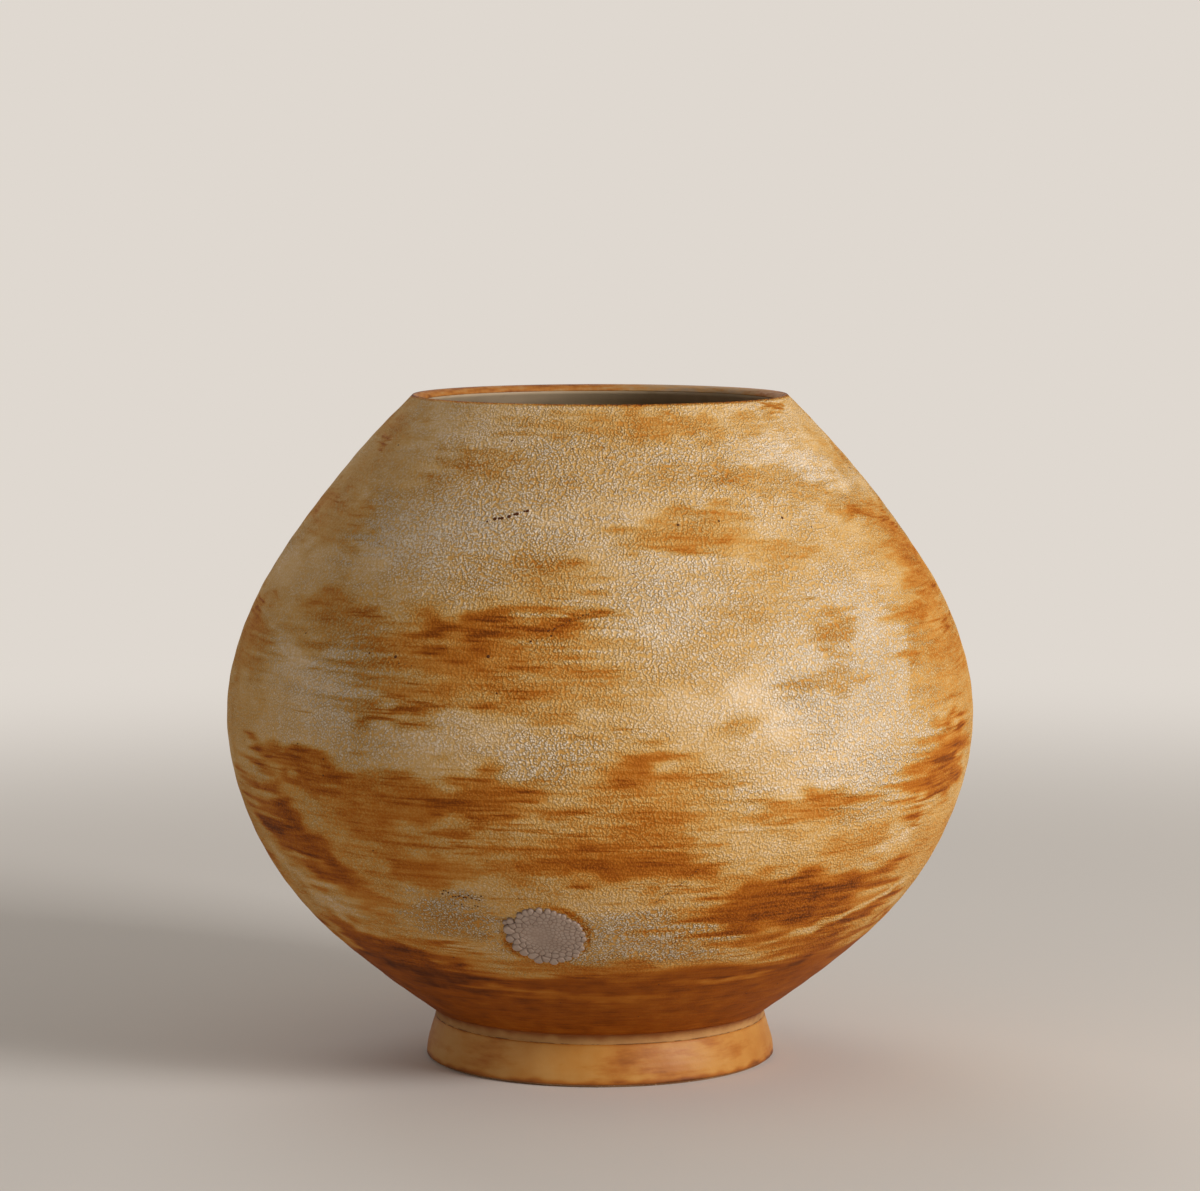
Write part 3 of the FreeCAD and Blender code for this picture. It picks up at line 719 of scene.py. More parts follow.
def iron_wash(bearing, climb):
    """The wash and the bristle marks at each place, from 0 to 1, and the crawl, from nearly 0 to 2."""
    radius, height = wall(climb)[:2]
    east = np.degrees(bearing)
    far_washes, far_bristles, far_wiped = far_side_strokes()
    edge = BAND_TOP + BAND_WANDER * waves(BAND_WAVES, bearing, climb)
    band = 1 - smooth(height, edge - BAND_BLUR, edge + BAND_BLUR)
    strokes = WASH_STRENGTH * brushed(WASH_STROKES + far_washes, bearing, climb, radius) ** WASH_HIDING
    strokes = 1 - (1 - strokes) * (1 - BAND_WASH * band)

    ground = GROUND_WASH + LOW_WASH * (1 - smooth(height, *LOW_WASH_HEIGHTS))
    ground = np.clip(ground + GROUND_UNEVEN * waves(GROUND_WAVES, bearing, climb), GROUND_LEAST, 1)
    panel = smooth(radius * np.sin(bearing), *PANEL_EDGE) * (1 - smooth(east, *PANEL_END_BEARINGS))
    panel = panel * smooth(height, *PANEL_FOOT_HEIGHTS) * (1 - smooth(height, *PANEL_TOP_HEIGHTS))
    ground = ground + PANEL_WASH * panel + SIDE_WASH * smooth(np.abs(east), *SIDE_WASH_BEARINGS)

    wiped = (1 - panel) * brushed(WIPED_STROKES + far_wiped, bearing, climb, radius)
    wash = (ground + (1 - ground) * strokes) * (1 - wiped * (WIPED_SHARE - WIPED_LESS_ON_BAND * band))
    wash = wash + (1 - wash) * brushed(DAB_STROKES, bearing, climb, radius)
    wash = np.maximum(wash, iron_halo(bearing, climb, radius))

    bristle = brushed(BRISTLE_STROKES + far_bristles, bearing, climb, radius)
    bold = brushed(CRAWLED_STROKES, bearing, climb, radius)
    crawl = CRAWL_PLAIN + CRAWL_UNEVEN * waves(CRAWL_WAVES, bearing, climb) + CRAWL_BOLD * bold
    crawl = crawl * (1 - CRAWL_FILLED * smooth(wash, *CRAWL_FILLING_WASH)) * (1 - CRAWL_HIDDEN * band)
    wash = wash + RIM_LINE * smooth(climb, COAT_LIP - RIM_LINE_WIDTH, COAT_LIP)
    return np.clip(wash, 0, 1), bristle, np.clip(crawl, *CRAWL_RANGE)


def crawled_coat():
    """Crawled matt slip under a brushed iron wash.

    One figure, the weight of iron at a place, picks the colour from cream to dark brown. It is the wash,
    plus streaks along the brush, plus the dark bristle marks, plus more in the valleys of the crawl than on
    its beads: partly because the wash drains off them, and partly as painted shade in the valleys.
    """
    slip = new_material("crawled_slip_iron_wash")
    place = add(slip, "TexCoord").outputs["Object"]
    run = add(slip, "Attribute", attribute_name="brush_run").outputs["Vector"]
    wash = add(slip, "Attribute", attribute_name="wash").outputs["Fac"]
    bristle = add(slip, "Attribute", attribute_name="bristle").outputs["Fac"]
    crawl = add(slip, "Attribute", attribute_name="crawl").outputs["Fac"]

    # Streaks along the brush: one bristle wide, and broad ones that fade along the stroke.
    fine_run = add(slip, "Mapping", {
        "Vector": run, "Scale": (BRISTLE_RUNS, BRISTLE_RUNS, per_metre(BRISTLE_WIDTH)),
    })
    fine = add(slip, "TexNoise", {"Vector": fine_run, "Scale": 1.0, "Detail": 2.0})
    broad_run = add(slip, "Mapping", {
        "Vector": run, "Scale": (BRUSH_BAND_RUNS, BRUSH_BAND_RUNS, per_metre(BRUSH_BAND_WIDTH)),
    })
    broad = add(slip, "TexNoise", {"Vector": broad_run, "Scale": 1.0, "Detail": 4.0, "Roughness": 0.6})
    mottle = add(slip, "TexNoise", {"Vector": place, "Scale": per_metre(MOTTLE_WIDTH), "Detail": 4.0})

    # The crawl: close beads of uneven size and shape, with valleys between them.
    bend = add(slip, "TexNoise", {"Vector": place, "Scale": per_metre(CRAWL_BEAD), "Detail": 0.0})
    bend = add(slip, "VectorMath", (bend.outputs["Color"], (0.5, 0.5, 0.5)), operation="SUBTRACT")
    bent = add(slip, "VectorMath", (bend, (CRAWL_BEND * MM,) * 3, place), operation="MULTIPLY_ADD")
    beads = add(slip, "TexVoronoi", {"Vector": bent, "Scale": per_metre(CRAWL_BEAD)})
    valley = add(slip, "MapRange", {
        "Value": beads.outputs["Distance"], "From Min": 0.1, "From Max": 0.8,
    }, interpolation_type="SMOOTHSTEP")

    # The weight of iron.
    brushy = add(slip, "Math", (wash, *BRUSHY), operation="MULTIPLY_ADD", use_clamp=True)
    streaks = add(slip, "Math", (fine, broad), operation="ADD")
    streaks = add(slip, "Math", (streaks, 1.0), operation="SUBTRACT")
    gain = add(slip, "Math", (crawl, *STREAK_GAIN), operation="MULTIPLY_ADD")
    gain = add(slip, "Math", (gain, STREAK_GAIN_MOST), operation="MINIMUM")
    light = add(slip, "Math", (streaks, gain), operation="MULTIPLY")
    iron = add(slip, "Math", (light, brushy, wash), operation="MULTIPLY_ADD")
    cloud = add(slip, "Math", (mottle, *MOTTLE_IRON), operation="MULTIPLY_ADD")
    iron = add(slip, "Math", (iron, cloud), operation="ADD")
    # More iron in the crawl's valleys than on its beads: partly wash drained off them, partly painted shade.
    valley_wash_and_shade = add(slip, "Math", (valley, *VALLEY_WASH_AND_SHADE), operation="MULTIPLY_ADD")
    iron = add(slip, "Math", (valley_wash_and_shade, crawl, iron), operation="MULTIPLY_ADD")
    hairs = add(slip, "Math", (streaks, HAIR_STREAKS, bristle), operation="MULTIPLY_ADD")
    hairs = add(slip, "MapRange", {
        "Value": hairs, "From Min": 0.3, "From Max": 1.1, "To Max": HAIR_IRON,
    }, interpolation_type="SMOOTHSTEP")
    left = add(slip, "Math", (1.0, iron), operation="SUBTRACT", use_clamp=True)
    iron = add(slip, "Math", (hairs, left, iron), operation="MULTIPLY_ADD", use_clamp=True)
    colour = add(slip, "ValToRGB", {"Fac": iron}, CREAM_TO_IRON)

    # Matt on the beads, a little closer where the wash is thick.
    roughness = add(slip, "MapRange", {"Value": iron, "To Min": 0.9, "To Max": 0.62})
    relief = add(slip, "Math", (1.0, valley), operation="SUBTRACT")
    relief = add(slip, "Math", (relief, crawl), operation="MULTIPLY")
    relief = add(slip, "Math", (fine, BRISTLE_RELIEF, relief), operation="MULTIPLY_ADD")
    bump = add(slip, "Bump", {"Height": relief, "Strength": 1.0, "Distance": CRAWL_HEIGHT * MM})
    shader = add(slip, "BsdfPrincipled", {
        "Base Color": colour, "Roughness": roughness, "Specular IOR Level": 0.1, "Normal": bump,
    })
    add(slip, "OutputMaterial", {"Surface": shader})
    return slip


coat_points, coat_bearing, coat_climb = coat_rings()
coat_wash, coat_bristle, coat_crawl = iron_wash(coat_bearing, coat_climb)
brush_climb = coat_climb + BRUSH_WANDER * waves(BRUSH_WAVES, coat_bearing, coat_climb)
coat = revolve(
    "coat", coat_points, wash=coat_wash, bristle=coat_bristle, crawl=coat_crawl,
    brush_run=MM * round_jar(coat_bearing, BELLY_RADIUS, brush_climb),
)
coat.data.materials.append(crawled_coat())
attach(coat, "root")
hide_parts("slip_coat")


# Rim wash: iron wash wiped along the lip's leaning face, over the bare clay.
# It is thin, so it is bright orange where it lies well and greyish where the slip's crawl ran over the edge.

# Radii and heights across the lip's face and on the clay behind it, and the crown's direction and height
RIM_OUTER = np.array([80.0, 285.1])
RIM_INNER = np.array([75.69, 282.31])
RIM_BACK = [(76.14, 282.57), (77.4, 283.9), (79.31, 284.65)]
RIM_ALONG = np.array([-0.722, 0.692])
RIM_CROWN = 1.0
RIM_COLUMNS = 400
RIM_ROWS = 13
RIM_WEAR = 0.12
RIM_WEAR_RANGE = (0, 2.2)
RIM_WEAR_WAVES = (61, 30, 60, 8, 1)

# The weight of iron, the grey place's bearing and spread in degrees, and the dark line at the outer edge.
# The fields of waves take the face as so many mm wide, so that they change quickly across it.
RIM_IRON = 0.6
RIM_IRON_UNEVEN = 0.13
RIM_IRON_WAVES = (62, 30, 90, 12, 1)
RIM_GREY = 0.44
RIM_GREY_BEARING = 145.0
RIM_GREY_SPREAD = 32.0
RIM_EDGE_IRON = 0.3
RIM_EDGE_SHARE = 0.14
RIM_WAVE_RUN = 40.0
RIM_COLOURS = [(0.0, "#A98F72"), (0.3, "#B98A53"), (0.55, "#B3702C"), (0.8, "#925218"), (1.0, "#5C300E")]
RIM_GRAIN = 2.0
RIM_GRAIN_HEIGHT = 0.2
RIM_GRAIN_IRON = (0.5, -0.25)


def rim_rings():
    """The lip's face from its outer edge to its inner one, bowed by the crown, 4 t (1 - t), and worn down a
    little unevenly, then its back on the clay. Also the weight of iron: least at the back on the right."""
    bearing = bearings(RIM_COLUMNS)
    share = np.linspace(0, 1, RIM_ROWS)[:, None]
    bow = 4 * share * (1 - share)
    worn = RIM_WEAR * np.clip(1 + waves(RIM_WEAR_WAVES, bearing, RIM_WAVE_RUN * share), *RIM_WEAR_RANGE)
    crown = (bow * (RIM_CROWN - worn))[..., None] * RIM_ALONG
    face = RIM_OUTER + share[..., None] * (RIM_INNER - RIM_OUTER) + crown
    back = np.array(RIM_BACK)[:, None, :] + 0 * bearing[..., None]
    section = np.concatenate([face, back])
    points = round_jar(bearing, section[..., 0], section[..., 1])
    grey = np.exp(-(((np.degrees(bearing) - RIM_GREY_BEARING) / RIM_GREY_SPREAD) ** 2))
    iron = RIM_IRON + RIM_IRON_UNEVEN * waves(RIM_IRON_WAVES, bearing, RIM_WAVE_RUN * share)
    iron = iron - RIM_GREY * grey + RIM_EDGE_IRON * (1 - smooth(share, 0, RIM_EDGE_SHARE))
    return points, np.concatenate([iron, 0.5 + 0 * back[..., 0]])


def rim_wash():
    """Iron wash on clay: orange-brown, thin and matt, darker along the outer edge where it gathered."""
    wash = new_material("rim_iron_wash")
    place = add(wash, "TexCoord").outputs["Object"]
    iron = add(wash, "Attribute", attribute_name="iron").outputs["Fac"]
    grain = add(wash, "TexNoise", {"Vector": place, "Scale": per_metre(RIM_GRAIN), "Detail": 3.0})
    weight = add(wash, "Math", (grain, *RIM_GRAIN_IRON), operation="MULTIPLY_ADD")
    weight = add(wash, "Math", (weight, iron), operation="ADD")
    colour = add(wash, "ValToRGB", {"Fac": weight}, RIM_COLOURS)
    bump = add(wash, "Bump", {"Height": grain, "Strength": 0.8, "Distance": RIM_GRAIN_HEIGHT * MM})
    shader = add(wash, "BsdfPrincipled", {
        "Base Color": colour, "Roughness": 0.66, "Specular IOR Level": 0.25, "Normal": bump,
    })
    add(wash, "OutputMaterial", {"Surface": shader})
    return wash


rim_points, rim_iron = rim_rings()
rim = revolve("rim", rim_points, iron=rim_iron)
rim.data.materials.append(rim_wash())
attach(rim, "root")
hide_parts("rim_wash")


# Foot wash: a smooth ochre wash on the foot's turned side, down to the bevel, which was wiped clean.
# It is honey-coloured, stained orange-brown in soft patches, and it gathered dark along its lower edge.

FOOT_BASE = (75.0, 1.1)
FOOT_BENDS = [(7.26, 16.0), (9.65, 1.66)]
FOOT_WASH_THICKNESS = 0.5
FOOT_COLUMNS = 360
FOOT_ROWS = 26
FOOT_BACK_ROWS = 8

# Relief of the turned side in mm: the tool's fine lines, the wash's waves, and the length over which both
# run out at its edges
TOOL_LINE = 2.8
TOOL_DEPTH = 0.05
TOOL_WAVES = (71, 12, 150, 50, 4)
FOOT_WAVE_DEPTH = 0.07
FOOT_WAVES = (72, 30, 50, 10, 2)
FOOT_FADE = 1.2

# Where the wash gathered: over these heights at its lower edge, and less along the hairline at its top
GATHERED_CLIMBS = (0.3, 2.4)
GATHERED_WANDER = 0.5
GATHERED_WAVES = (73, 20, 60, 12, 1)
GATHERED_TOP = 0.45

# The wash's colours from thin to thick, and its patterns: widths in mm, and how many level stains there are
# to a metre along the foot. Each pair is a factor and what is added to the product.
FOOT_COLOURS = [(0.0, "#CA9853"), (0.3, "#BE8238"), (0.5, "#AF6B23"), (0.72, "#945214"), (1.0, "#5A2A0A")]
FOOT_CLOUD_WIDTH = 26.0
FOOT_CLOUD_IRON = (1.1, -0.3)
FOOT_STAIN_RUNS = 32.0
FOOT_STAIN_HEIGHT = 7.0
FOOT_GATHERED_IRON = 0.45
FOOT_GRAIN = 1.4
FOOT_GRAIN_HEIGHT = 0.15


def foot_rings():
    """The foot's side from the bevel to the hairline, with the turning tool's fine lines and the wash's
    waves sunk into it, then its back on the clay. Also how much the wash gathered at each place."""
    length = reach(FOOT_BENDS)
    bearing = bearings(FOOT_COLUMNS)
    climb = np.linspace(0, length, FOOT_ROWS)[:, None]
    radius, height, heading = follow(FOOT_BASE, 0, UP, FOOT_BENDS, climb)
    tool = 0.5 + 0.5 * np.cos(2 * math.pi * climb / TOOL_LINE + waves(TOOL_WAVES, bearing, climb))
    uneven = np.clip(1 + waves(FOOT_WAVES, bearing, climb), *DIP_RANGE)
    sunk = TOOL_DEPTH * tool + FOOT_WAVE_DEPTH * uneven
    sunk = sunk * smooth(climb, 0, FOOT_FADE) * smooth(length - climb, 0, FOOT_FADE)
    face = round_jar(bearing, radius - sunk * np.cos(heading), height - sunk * np.sin(heading))
    back_climb = np.linspace(length, 0, FOOT_BACK_ROWS)[:, None]
    radius, height, heading = follow(FOOT_BASE, 0, UP, FOOT_BENDS, back_climb)
    inset = FOOT_WASH_THICKNESS
    back = round_jar(bearing, radius - inset * np.cos(heading), height - inset * np.sin(heading))
    edge = climb + GATHERED_WANDER * waves(GATHERED_WAVES, bearing, climb)
    gathered = 1 - smooth(edge, *GATHERED_CLIMBS) + GATHERED_TOP * smooth(climb, length - FOOT_FADE, length)
    return np.concatenate([face, back]), np.concatenate([gathered, np.zeros(back.shape[:2])])


def foot_wash():
    """Ochre wash, smooth and closed, with a low shine: clouded, with level orange stains."""
    wash = new_material("foot_ochre_wash")
    place = add(wash, "TexCoord").outputs["Object"]
    gathered = add(wash, "Attribute", attribute_name="gathered").outputs["Fac"]
    cloud = add(wash, "TexNoise", {"Vector": place, "Scale": per_metre(FOOT_CLOUD_WIDTH), "Detail": 5.0})
    level = add(wash, "Mapping", {
        "Vector": place, "Scale": (FOOT_STAIN_RUNS, FOOT_STAIN_RUNS, per_metre(FOOT_STAIN_HEIGHT)),
    })
    stain = add(wash, "TexNoise", {"Vector": level, "Scale": 1.0, "Detail": 4.0, "Roughness": 0.6})
    stained = add(wash, "MapRange", {"Value": stain, "From Min": 0.52, "From Max": 0.8, "To Max": 0.42})
    weight = add(wash, "Math", (cloud, *FOOT_CLOUD_IRON), operation="MULTIPLY_ADD")
    weight = add(wash, "Math", (weight, stained), operation="ADD")
    weight = add(wash, "Math", (gathered, FOOT_GATHERED_IRON, weight), operation="MULTIPLY_ADD")
    colour = add(wash, "ValToRGB", {"Fac": weight}, FOOT_COLOURS)
    grain = add(wash, "TexNoise", {"Vector": place, "Scale": per_metre(FOOT_GRAIN), "Detail": 2.0})
    bump = add(wash, "Bump", {"Height": grain, "Strength": 0.35, "Distance": FOOT_GRAIN_HEIGHT * MM})
    shader = add(wash, "BsdfPrincipled", {
        "Base Color": colour, "Roughness": 0.5, "Specular IOR Level": 0.3, "Normal": bump,
    })
    add(wash, "OutputMaterial", {"Surface": shader})
    return wash


foot_points, foot_gathered = foot_rings()
foot_side = revolve("foot_side", foot_points, gathered=foot_gathered)
foot_side.data.materials.append(foot_wash())
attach(foot_side, "root")
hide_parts("foot_wash")


# Roundel: a patch of thick stiff glaze that drew up into close smooth pebbles as it melted.
# They are largest along its lower left edge and finest round a shallow smooth middle, left of centre.

PATCH_RADIUS = 18.6
PATCH_COLUMNS = 300
PATCH_RINGS = 100
PATCH_BACK_RINGS = 6
PATCH_BACK_EYE = 2.0
PATCH_SUNK = 0.4
POOL_PLACE = np.array([-2.6, 0.6])
POOL_RADIUS = 5.6
POOL_SHARES = (0.55, 1.35)
GLAZE_BASE = 0.5

# Pebble widths in mm: near the pool, at the upper right edge, and how much more at the lower left one. The
# swell rises across the roundel by its power and its lean, and the width over these distances outwards.
PEBBLE_LEAST = 1.5
PEBBLE_EDGE = 2.0
PEBBLE_SWELL = 1.8
PEBBLE_SWELL_POWER = 1.5
PEBBLE_LEAN = 0.35
PEBBLE_GROWTH = (5, 14)

# Three pebbles at the upper left edge that are listed, each its place and its width, then the seed and
# how many random places are tried. The margin and the spacing are shares of the pebbles' widths.
STRAY_PEBBLES = [(-14.6, 4.2, 3.8), (-13.6, 8.6, 2.6), (-16.0, 7.7, 1.8)]
PEBBLE_SEED = 81
PEBBLE_TRIES = 20000
PEBBLE_MARGIN_SHARE = 0.42
PEBBLE_SPACING_SHARE = 0.43

# A pebble's shape: how steep its creases are, where its outer side ends, as a share of its width, and its
# height as a share of its width, which grows with the width and is less in the pool
CREASE = 2.5
SIDE_SHARE = 0.62
SIDE_POWER = 4
HEIGHT_GROWTH = (0.1, -0.02)
HEIGHT_SHARES = (0.14, 0.3)
POOL_FLATTENS = 0.8
POOL_SINKS = 0.3

# Between the pebbles the glaze is closed, up to these distances inside the roundel's edge. Past the pebbles
# it ends over a share of their side, and dips this far under the coat.
CLOSED_MARGINS = (2.4, 1.6)
CLOSED_LEVEL = 0.5
ENDING_SIDE = 0.12
OUTSIDE_DIP = 0.15

# The glaze's colours from the creases to the pebbles' tops, its clouds, and how pale the inside of a pebble
# and of the pool is. The dark brown in the creases is painted shade.
GLAZE_AND_CREASE_SHADE_COLOURS = [(0.0, "#604735"), (0.35, "#937B6B"), (0.7, "#A99383"), (1.0, "#BCA899")]
GLAZE_CLOUD_WIDTH = 4.0
GLAZE_CLOUD = (0.5, -0.3)
CREASE_SHADE_DEPTH = 0.8
POOL_INSIDE = 0.75


def pebble_size(places):
    """A pebble's width at a place on the roundel, in mm: 3.8 along the lower left edge, 2 along the upper
    right one, and 1.5 near the pool."""
    away = np.hypot(places[..., 0], places[..., 1])
    lower_left = 0.5 - PEBBLE_LEAN * (places[..., 0] + places[..., 1]) / ROUNDEL_RADIUS
    edge = PEBBLE_EDGE + PEBBLE_SWELL * np.clip(lower_left, 0, 1) ** PEBBLE_SWELL_POWER
    return PEBBLE_LEAST + (edge - PEBBLE_LEAST) * smooth(away, *PEBBLE_GROWTH)


def pebble_places():
    """Where the pebbles stand, and their widths: random places, each kept if it is clear of those before."""
    draw = np.random.default_rng(PEBBLE_SEED)
    kept = [np.array(stray[:2]) for stray in STRAY_PEBBLES]
    sizes = [stray[2] for stray in STRAY_PEBBLES]
    for _ in range(PEBBLE_TRIES):
        place = draw.uniform(-ROUNDEL_RADIUS, ROUNDEL_RADIUS, 2)
        size = float(pebble_size(place))
        if np.hypot(*place) > ROUNDEL_RADIUS - PEBBLE_MARGIN_SHARE * size:
            continue
        gaps = np.hypot(*(np.array(kept) - place).T) - PEBBLE_SPACING_SHARE * (np.array(sizes) + size)
        if gaps.min() > 0:
            kept.append(place)
            sizes.append(size)
    return np.array(kept), np.array(sizes)


def pebble_cover(places):
    """The glaze's height over the coat at places on the roundel, and how far each lies inside its pebble.

    With f and g the distances to the nearest two pebbles, each over its pebble's width, the cushion is
    sqrt(1 - (1 - t)^2) with t = crease (g - f), so each pebble is round and meets its neighbours in a
    crease. Past a share of a pebble's width from the outermost ones, the glaze ends.
    """
    seeds, sizes = pebble_places()
    flat = places.reshape(-1, 2)
    away = np.hypot(flat[:, None, 0] - seeds[:, 0], flat[:, None, 1] - seeds[:, 1]) / sizes
    nearest = np.argsort(away, axis=1)[:, :2]
    near, next_near = np.take_along_axis(away, nearest, axis=1).T
    size = sizes[nearest[:, 0]]
    crease = np.clip(CREASE * (next_near - near), 0, 1)
    side = np.clip(1 - (near / SIDE_SHARE) ** SIDE_POWER, 0, 1)
    middle = np.hypot(*flat.T)
    closed = 1 - smooth(middle, ROUNDEL_RADIUS - CLOSED_MARGINS[0], ROUNDEL_RADIUS - CLOSED_MARGINS[1])
    inside = np.minimum(crease, np.maximum(side, CLOSED_LEVEL * closed))
    cushion = np.sqrt(1 - (1 - inside) ** 2)
    pool_away = np.hypot(*(flat - POOL_PLACE).T) / POOL_RADIUS
    pool = 1 - smooth(pool_away, *POOL_SHARES)
    tall = size * np.clip(HEIGHT_GROWTH[0] * size + HEIGHT_GROWTH[1], *HEIGHT_SHARES)
    raised = GLAZE_BASE * (1 - POOL_SINKS * pool) + tall * (1 - POOL_FLATTENS * pool) * cushion
    within = np.maximum(smooth(side, 0, ENDING_SIDE), closed)
    height = within * raised - OUTSIDE_DIP * (1 - within)
    # How far a place lies inside its pebble, or in the pool; it sets the painted shade in the creases.
    inside = np.maximum(cushion, POOL_INSIDE * pool)
    return height.reshape(places.shape[:-1]), inside.reshape(places.shape[:-1])


def on_roundel(places, lift):
    """Points of the jar at places across and up from the roundel's middle, lifted off the coat in mm."""
    climb = ROUNDEL_CLIMB + places[..., 1]
    bearing = ROUNDEL_BEARING + places[..., 0] / wall(climb)[0]
    return coat_face(bearing, climb, lift)


def roundel_rings():
    """The patch's back, sunk in the coat, out to its edge, then its pebbled face back to the middle."""
    turn = np.linspace(0, 2 * math.pi, PATCH_COLUMNS, endpoint=False)[None, :]
    ring = np.linspace(PATCH_RADIUS / PATCH_RINGS, PATCH_RADIUS, PATCH_RINGS)[::-1, None]
    face_places = np.stack([ring * np.cos(turn), ring * np.sin(turn)], axis=-1)
    height, inside = pebble_cover(face_places)
    back_ring = np.linspace(PATCH_BACK_EYE, PATCH_RADIUS, PATCH_BACK_RINGS)[:, None]
    back_places = np.stack([back_ring * np.cos(turn), back_ring * np.sin(turn)], axis=-1)
    points = np.concatenate([on_roundel(back_places, -PATCH_SUNK), on_roundel(face_places, height)])
    middle = np.zeros((2, 2))
    ends = on_roundel(middle, np.array([-PATCH_SUNK, pebble_cover(middle)[0][0]]))
    return points, ends, np.concatenate([np.zeros(back_places.shape[:2]), inside])


def bead_glaze():
    """Thick stiff glaze: opaque pinkish grey, softly glossy on the pebbles, with painted shade in the
    creases.
    """
    glaze = new_material("beaded_grey_glaze")
    place = add(glaze, "TexCoord").outputs["Object"]
    inside = add(glaze, "Attribute", attribute_name="inside").outputs["Fac"]
    cloud = add(glaze, "TexNoise", {"Vector": place, "Scale": per_metre(GLAZE_CLOUD_WIDTH), "Detail": 3.0})
    weight = add(glaze, "Math", (cloud, *GLAZE_CLOUD), operation="MULTIPLY_ADD")
    # Painted shade in the creases: the less a place lies inside its pebble, the darker brown it is.
    weight = add(glaze, "Math", (inside, CREASE_SHADE_DEPTH, weight), operation="MULTIPLY_ADD")
    colour = add(glaze, "ValToRGB", {"Fac": weight}, GLAZE_AND_CREASE_SHADE_COLOURS)
    shader = add(glaze, "BsdfPrincipled", {"Base Color": colour, "Roughness": 0.34})
    add(glaze, "OutputMaterial", {"Surface": shader})
    return glaze


roundel_points, roundel_ends, roundel_inside = roundel_rings()
roundel = revolve("roundel", roundel_points, roundel_ends, inside=roundel_inside)
roundel.data.materials.append(bead_glaze())
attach(roundel, "root")
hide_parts("glaze_roundel")


# Iron spots: specks of ironstone in the clay that melted through the coat as small dark blisters.
# Most are scattered. Others lie in rows, where a grain was dragged under the tool and left pinholes that
# bled iron, and where a hard edge scratched the wash.

# Each spot: bearing from the front in degrees, height and width in mm.
IRON_SPOTS = [
    (-32.5, 187, 1.5), (-17.0, 189, 1.6), (15.0, 239, 1.3), (23.5, 240, 1.1), (38.0, 240, 1.4),
    (-7.5, 197.4, 1.0), (-10.6, 195.2, 1.1), (-37.5, 187.6, 1.0),
]

# Each row: its two ends, the number of spots, their mean width and how far they stray off the row, in mm.
SPOT_ROWS = [
    ((-22.5, 239.7), (-13.9, 244.7), 9, 1.4, 0.4), ((-26.4, 91.7), (-19.1, 90.3), 16, 0.8, 1.2),
    ((-25.6, 86.5), (-19.9, 86.2), 9, 0.7, 1.0), ((8.9, 89.7), (12.9, 97.8), 22, 0.5, 0.2),
    ((12.9, 97.8), (15.4, 104.4), 12, 0.45, 0.3), ((16.7, 84.8), (17.2, 93.3), 9, 0.4, 0.3),
    ((-8.4, 198.5), (-1.5, 206.6), 16, 0.7, 0.6), ((-34.0, 184.4), (-26.1, 183.9), 8, 0.5, 0.4),
]
ROW_STEP_SHARES = (0.1, 0.9)
ROW_WIDTH_SHARES = (0.6, 1.3)

# Scattered spots: how many, and the ranges of bearing, height and width
SPOT_SEED = 91
SCATTERED_SPOTS = 130
SCATTERED_RANGES = [(-180, 180), (30, 282), (0.4, 0.95)]

# A spot's tiers: each one's share of its width and its height over the coat, and how far its ends stand out
SPOT_COLUMNS = 10
SPOT_TIERS = np.array([(1.0, -0.1), (0.92, 0.04), (0.55, 0.1)])
SPOT_ENDS = [-0.12, 0.12]
SPOT_COLOUR = "#59300F"


def spot_places():
    """Each spot's bearing, height and width: the single ones, the rows and the scattered ones."""
    draw = np.random.default_rng(SPOT_SEED)
    spots = list(IRON_SPOTS)
    for start, end, count, size, stray in SPOT_ROWS:
        for share in (np.arange(count) + draw.uniform(*ROW_STEP_SHARES, count)) / count:
            bearing = start[0] + share * (end[0] - start[0])
            height = start[1] + share * (end[1] - start[1]) + draw.uniform(-stray, stray)
            spots.append((bearing, height, size * draw.uniform(*ROW_WIDTH_SHARES)))
    for _ in range(SCATTERED_SPOTS):
        spots.append(tuple(draw.uniform(low, high) for low, high in SCATTERED_RANGES))
    return np.array(spots)


def spot_mesh():
    """Low round blisters on the coat, each a few tiers of points with a point at its bottom and its top."""
    spots = spot_places()
    turn = np.linspace(0, 2 * math.pi, SPOT_COLUMNS, endpoint=False)
    reach_out = 0.5 * spots[:, 2, None, None] * SPOT_TIERS[:, 0][:, None]
    ends = np.zeros((len(spots), len(SPOT_ENDS)))
    across = np.concatenate([(reach_out * np.cos(turn)).reshape(len(spots), -1), ends], axis=1)
    up = np.concatenate([(reach_out * np.sin(turn)).reshape(len(spots), -1), ends], axis=1)
    lift = np.concatenate([np.repeat(SPOT_TIERS[:, 1], SPOT_COLUMNS), SPOT_ENDS])
    climb = climb_at(spots[:, 1])[:, None] + up
    bearing = np.radians(spots[:, 0])[:, None] + across / wall(climb)[0]
    points = coat_face(bearing, climb, lift)
    index = np.arange(len(SPOT_TIERS) * SPOT_COLUMNS).reshape(len(SPOT_TIERS), SPOT_COLUMNS)
    after = np.roll(index, -1, axis=1)
    quads = np.stack([index[:-1], after[:-1], after[1:], index[1:]], axis=-1).reshape(-1, 4)
    bottom = [[index.size, b, a] for a, b in zip(index[0], after[0])]
    top = [[a, b, index.size + 1] for a, b in zip(index[-1], after[-1])]
    each = points.shape[1]
    faces = []
    for number in range(len(spots)):
        faces += (quads + number * each).tolist()
        faces += (np.array(bottom + top) + number * each).tolist()
    mesh = bpy.data.meshes.new("iron_spots")
    mesh.from_pydata((points.reshape(-1, 3) * MM).tolist(), [], faces)
    mesh.shade_smooth()
    return mesh


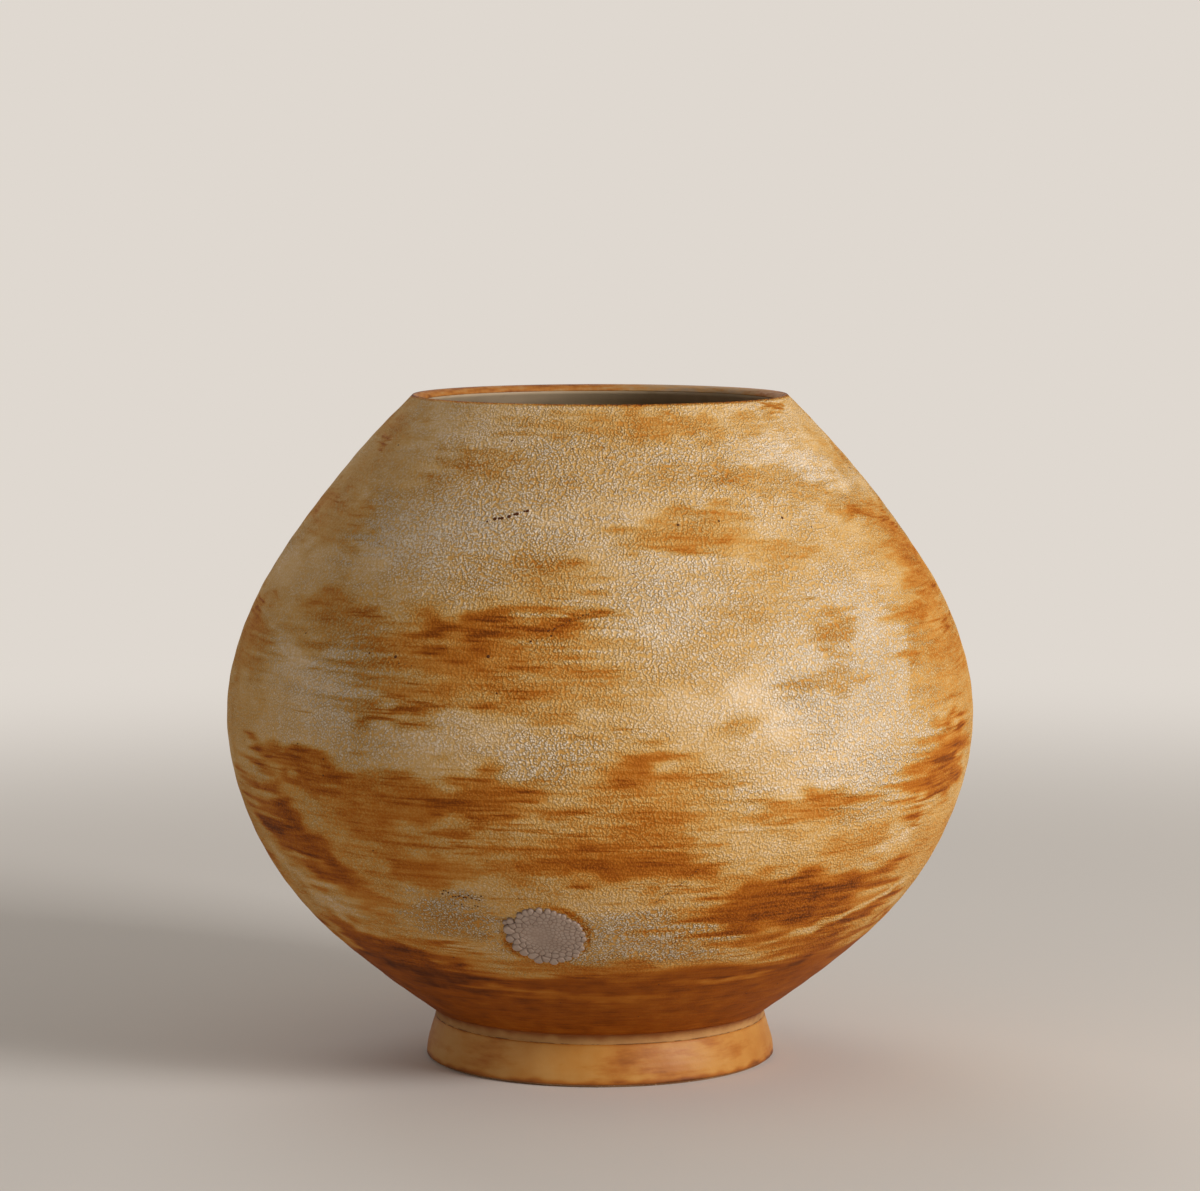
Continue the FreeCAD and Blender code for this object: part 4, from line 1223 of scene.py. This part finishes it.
def iron_blister():
    """Melted ironstone: nearly black brown, a little shiny."""
    iron = new_material("melted_iron_speck")
    shader = add(iron, "BsdfPrincipled", {
        "Base Color": linear(SPOT_COLOUR), "Roughness": 0.6, "Specular IOR Level": 0.2,
    })
    add(iron, "OutputMaterial", {"Surface": shader})
    return iron


spots = bpy.data.objects.new("iron_spots", spot_mesh())
bpy.context.scene.collection.objects.link(spots)
spots.data.materials.append(iron_blister())
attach(spots, "root")


# Plain pale floor that runs into an even pale background, and soft studio light: a lamp from the front
# right, a wider and weaker one from the left, one from behind, and an even sky. All of it is in metres.

FLOOR_COLOUR = "#D9D2CA"
SKY_COLOUR = "#DFD8D0"
SKY_LIGHT = 0.36
FLOOR_RADIUS = 6.0
FLOOR_CORNERS = 96
FLOOR_FADE = (0.45, 1.5)
JAR_MIDDLE = (0, 0, 0.15)

# Each lamp: its place, its width and its power in watts.
LAMPS = {
    "key_lamp": ((1.9, -1.25, 1.05), 0.8, 50.0),
    "fill_lamp": ((-1.9, -1.5, 1.2), 1.6, 3.5),
    "back_lamp": ((-0.6, 2.2, 1.8), 1.6, 18.0),
}


def plain_floor():
    """Matt pale grey. Past half a metre the camera sees it fade into the background, to hide its edge."""
    pale = new_material("plain_floor")
    place = add(pale, "TexCoord").outputs["Object"]
    away = add(pale, "VectorMath", (place,), operation="LENGTH").outputs["Value"]
    fade = add(pale, "MapRange", {
        "Value": away, "From Min": FLOOR_FADE[0], "From Max": FLOOR_FADE[1],
    }, interpolation_type="SMOOTHERSTEP")
    seen = add(pale, "LightPath").outputs["Is Camera Ray"]
    fade = add(pale, "Math", (fade, seen), operation="MULTIPLY")
    matt = add(pale, "BsdfPrincipled", {"Base Color": linear(FLOOR_COLOUR), "Roughness": 0.9})
    backdrop = add(pale, "Emission", {"Color": linear(SKY_COLOUR), "Strength": 1.0})
    both = add(pale, "MixShader", (fade, matt, backdrop))
    add(pale, "OutputMaterial", {"Surface": both})
    return pale


def even_sky():
    """A pale sky that the camera sees at full strength and that lights the jar at less."""
    world = bpy.data.worlds.new("even_sky")
    world.use_nodes = True
    world.node_tree.nodes.clear()
    seen = add(world, "LightPath").outputs["Is Camera Ray"]
    strength = add(world, "MapRange", {"Value": seen, "To Min": SKY_LIGHT, "To Max": 1.0})
    sky = add(world, "Background", {"Color": linear(SKY_COLOUR), "Strength": strength})
    add(world, "OutputWorld", {"Surface": sky})
    return world


def soft_lamp(name, place, size, watts):
    """A square lamp that faces the jar's middle."""
    light = bpy.data.lights.new(name, "AREA")
    light.size = size
    light.energy = watts
    lamp = bpy.data.objects.new(name, light)
    lamp.location = place
    away = np.array(JAR_MIDDLE) - np.array(place)
    level = math.hypot(away[0], away[1])
    lamp.rotation_euler = (math.atan2(level, -away[2]), 0, math.atan2(away[1], away[0]) - math.pi / 2)
    bpy.context.scene.collection.objects.link(lamp)


floor_turn = np.linspace(0, 2 * math.pi, FLOOR_CORNERS, endpoint=False)
floor_edge = FLOOR_RADIUS * np.stack([np.cos(floor_turn), np.sin(floor_turn), 0 * floor_turn], axis=-1)
floor_mesh = bpy.data.meshes.new("floor")
floor_mesh.from_pydata(floor_edge.tolist(), [], [list(range(FLOOR_CORNERS))])
floor_mesh.materials.append(plain_floor())
floor = bpy.data.objects.new("floor", floor_mesh)
bpy.context.scene.collection.objects.link(floor)

for name, (place, size, watts) in LAMPS.items():
    soft_lamp(name, place, size, watts)
bpy.context.scene.world = even_sky()
bpy.context.scene.view_settings.view_transform = "Standard"


# Camera: the photo's view, from the front and a little above.

CAMERA_PLACE = (0, -1.8495, 0.3861)
CAMERA_TILT = 84.21
CAMERA_LENS = 130.0
CAMERA_SENSOR = 36.0

camera_data = bpy.data.cameras.new("camera")
camera_data.lens = CAMERA_LENS
camera_data.sensor_width = CAMERA_SENSOR
camera = bpy.data.objects.new("camera", camera_data)
camera.location = CAMERA_PLACE
camera.rotation_euler = (math.radians(CAMERA_TILT), 0, 0)
bpy.context.scene.collection.objects.link(camera)
bpy.context.scene.camera = camera
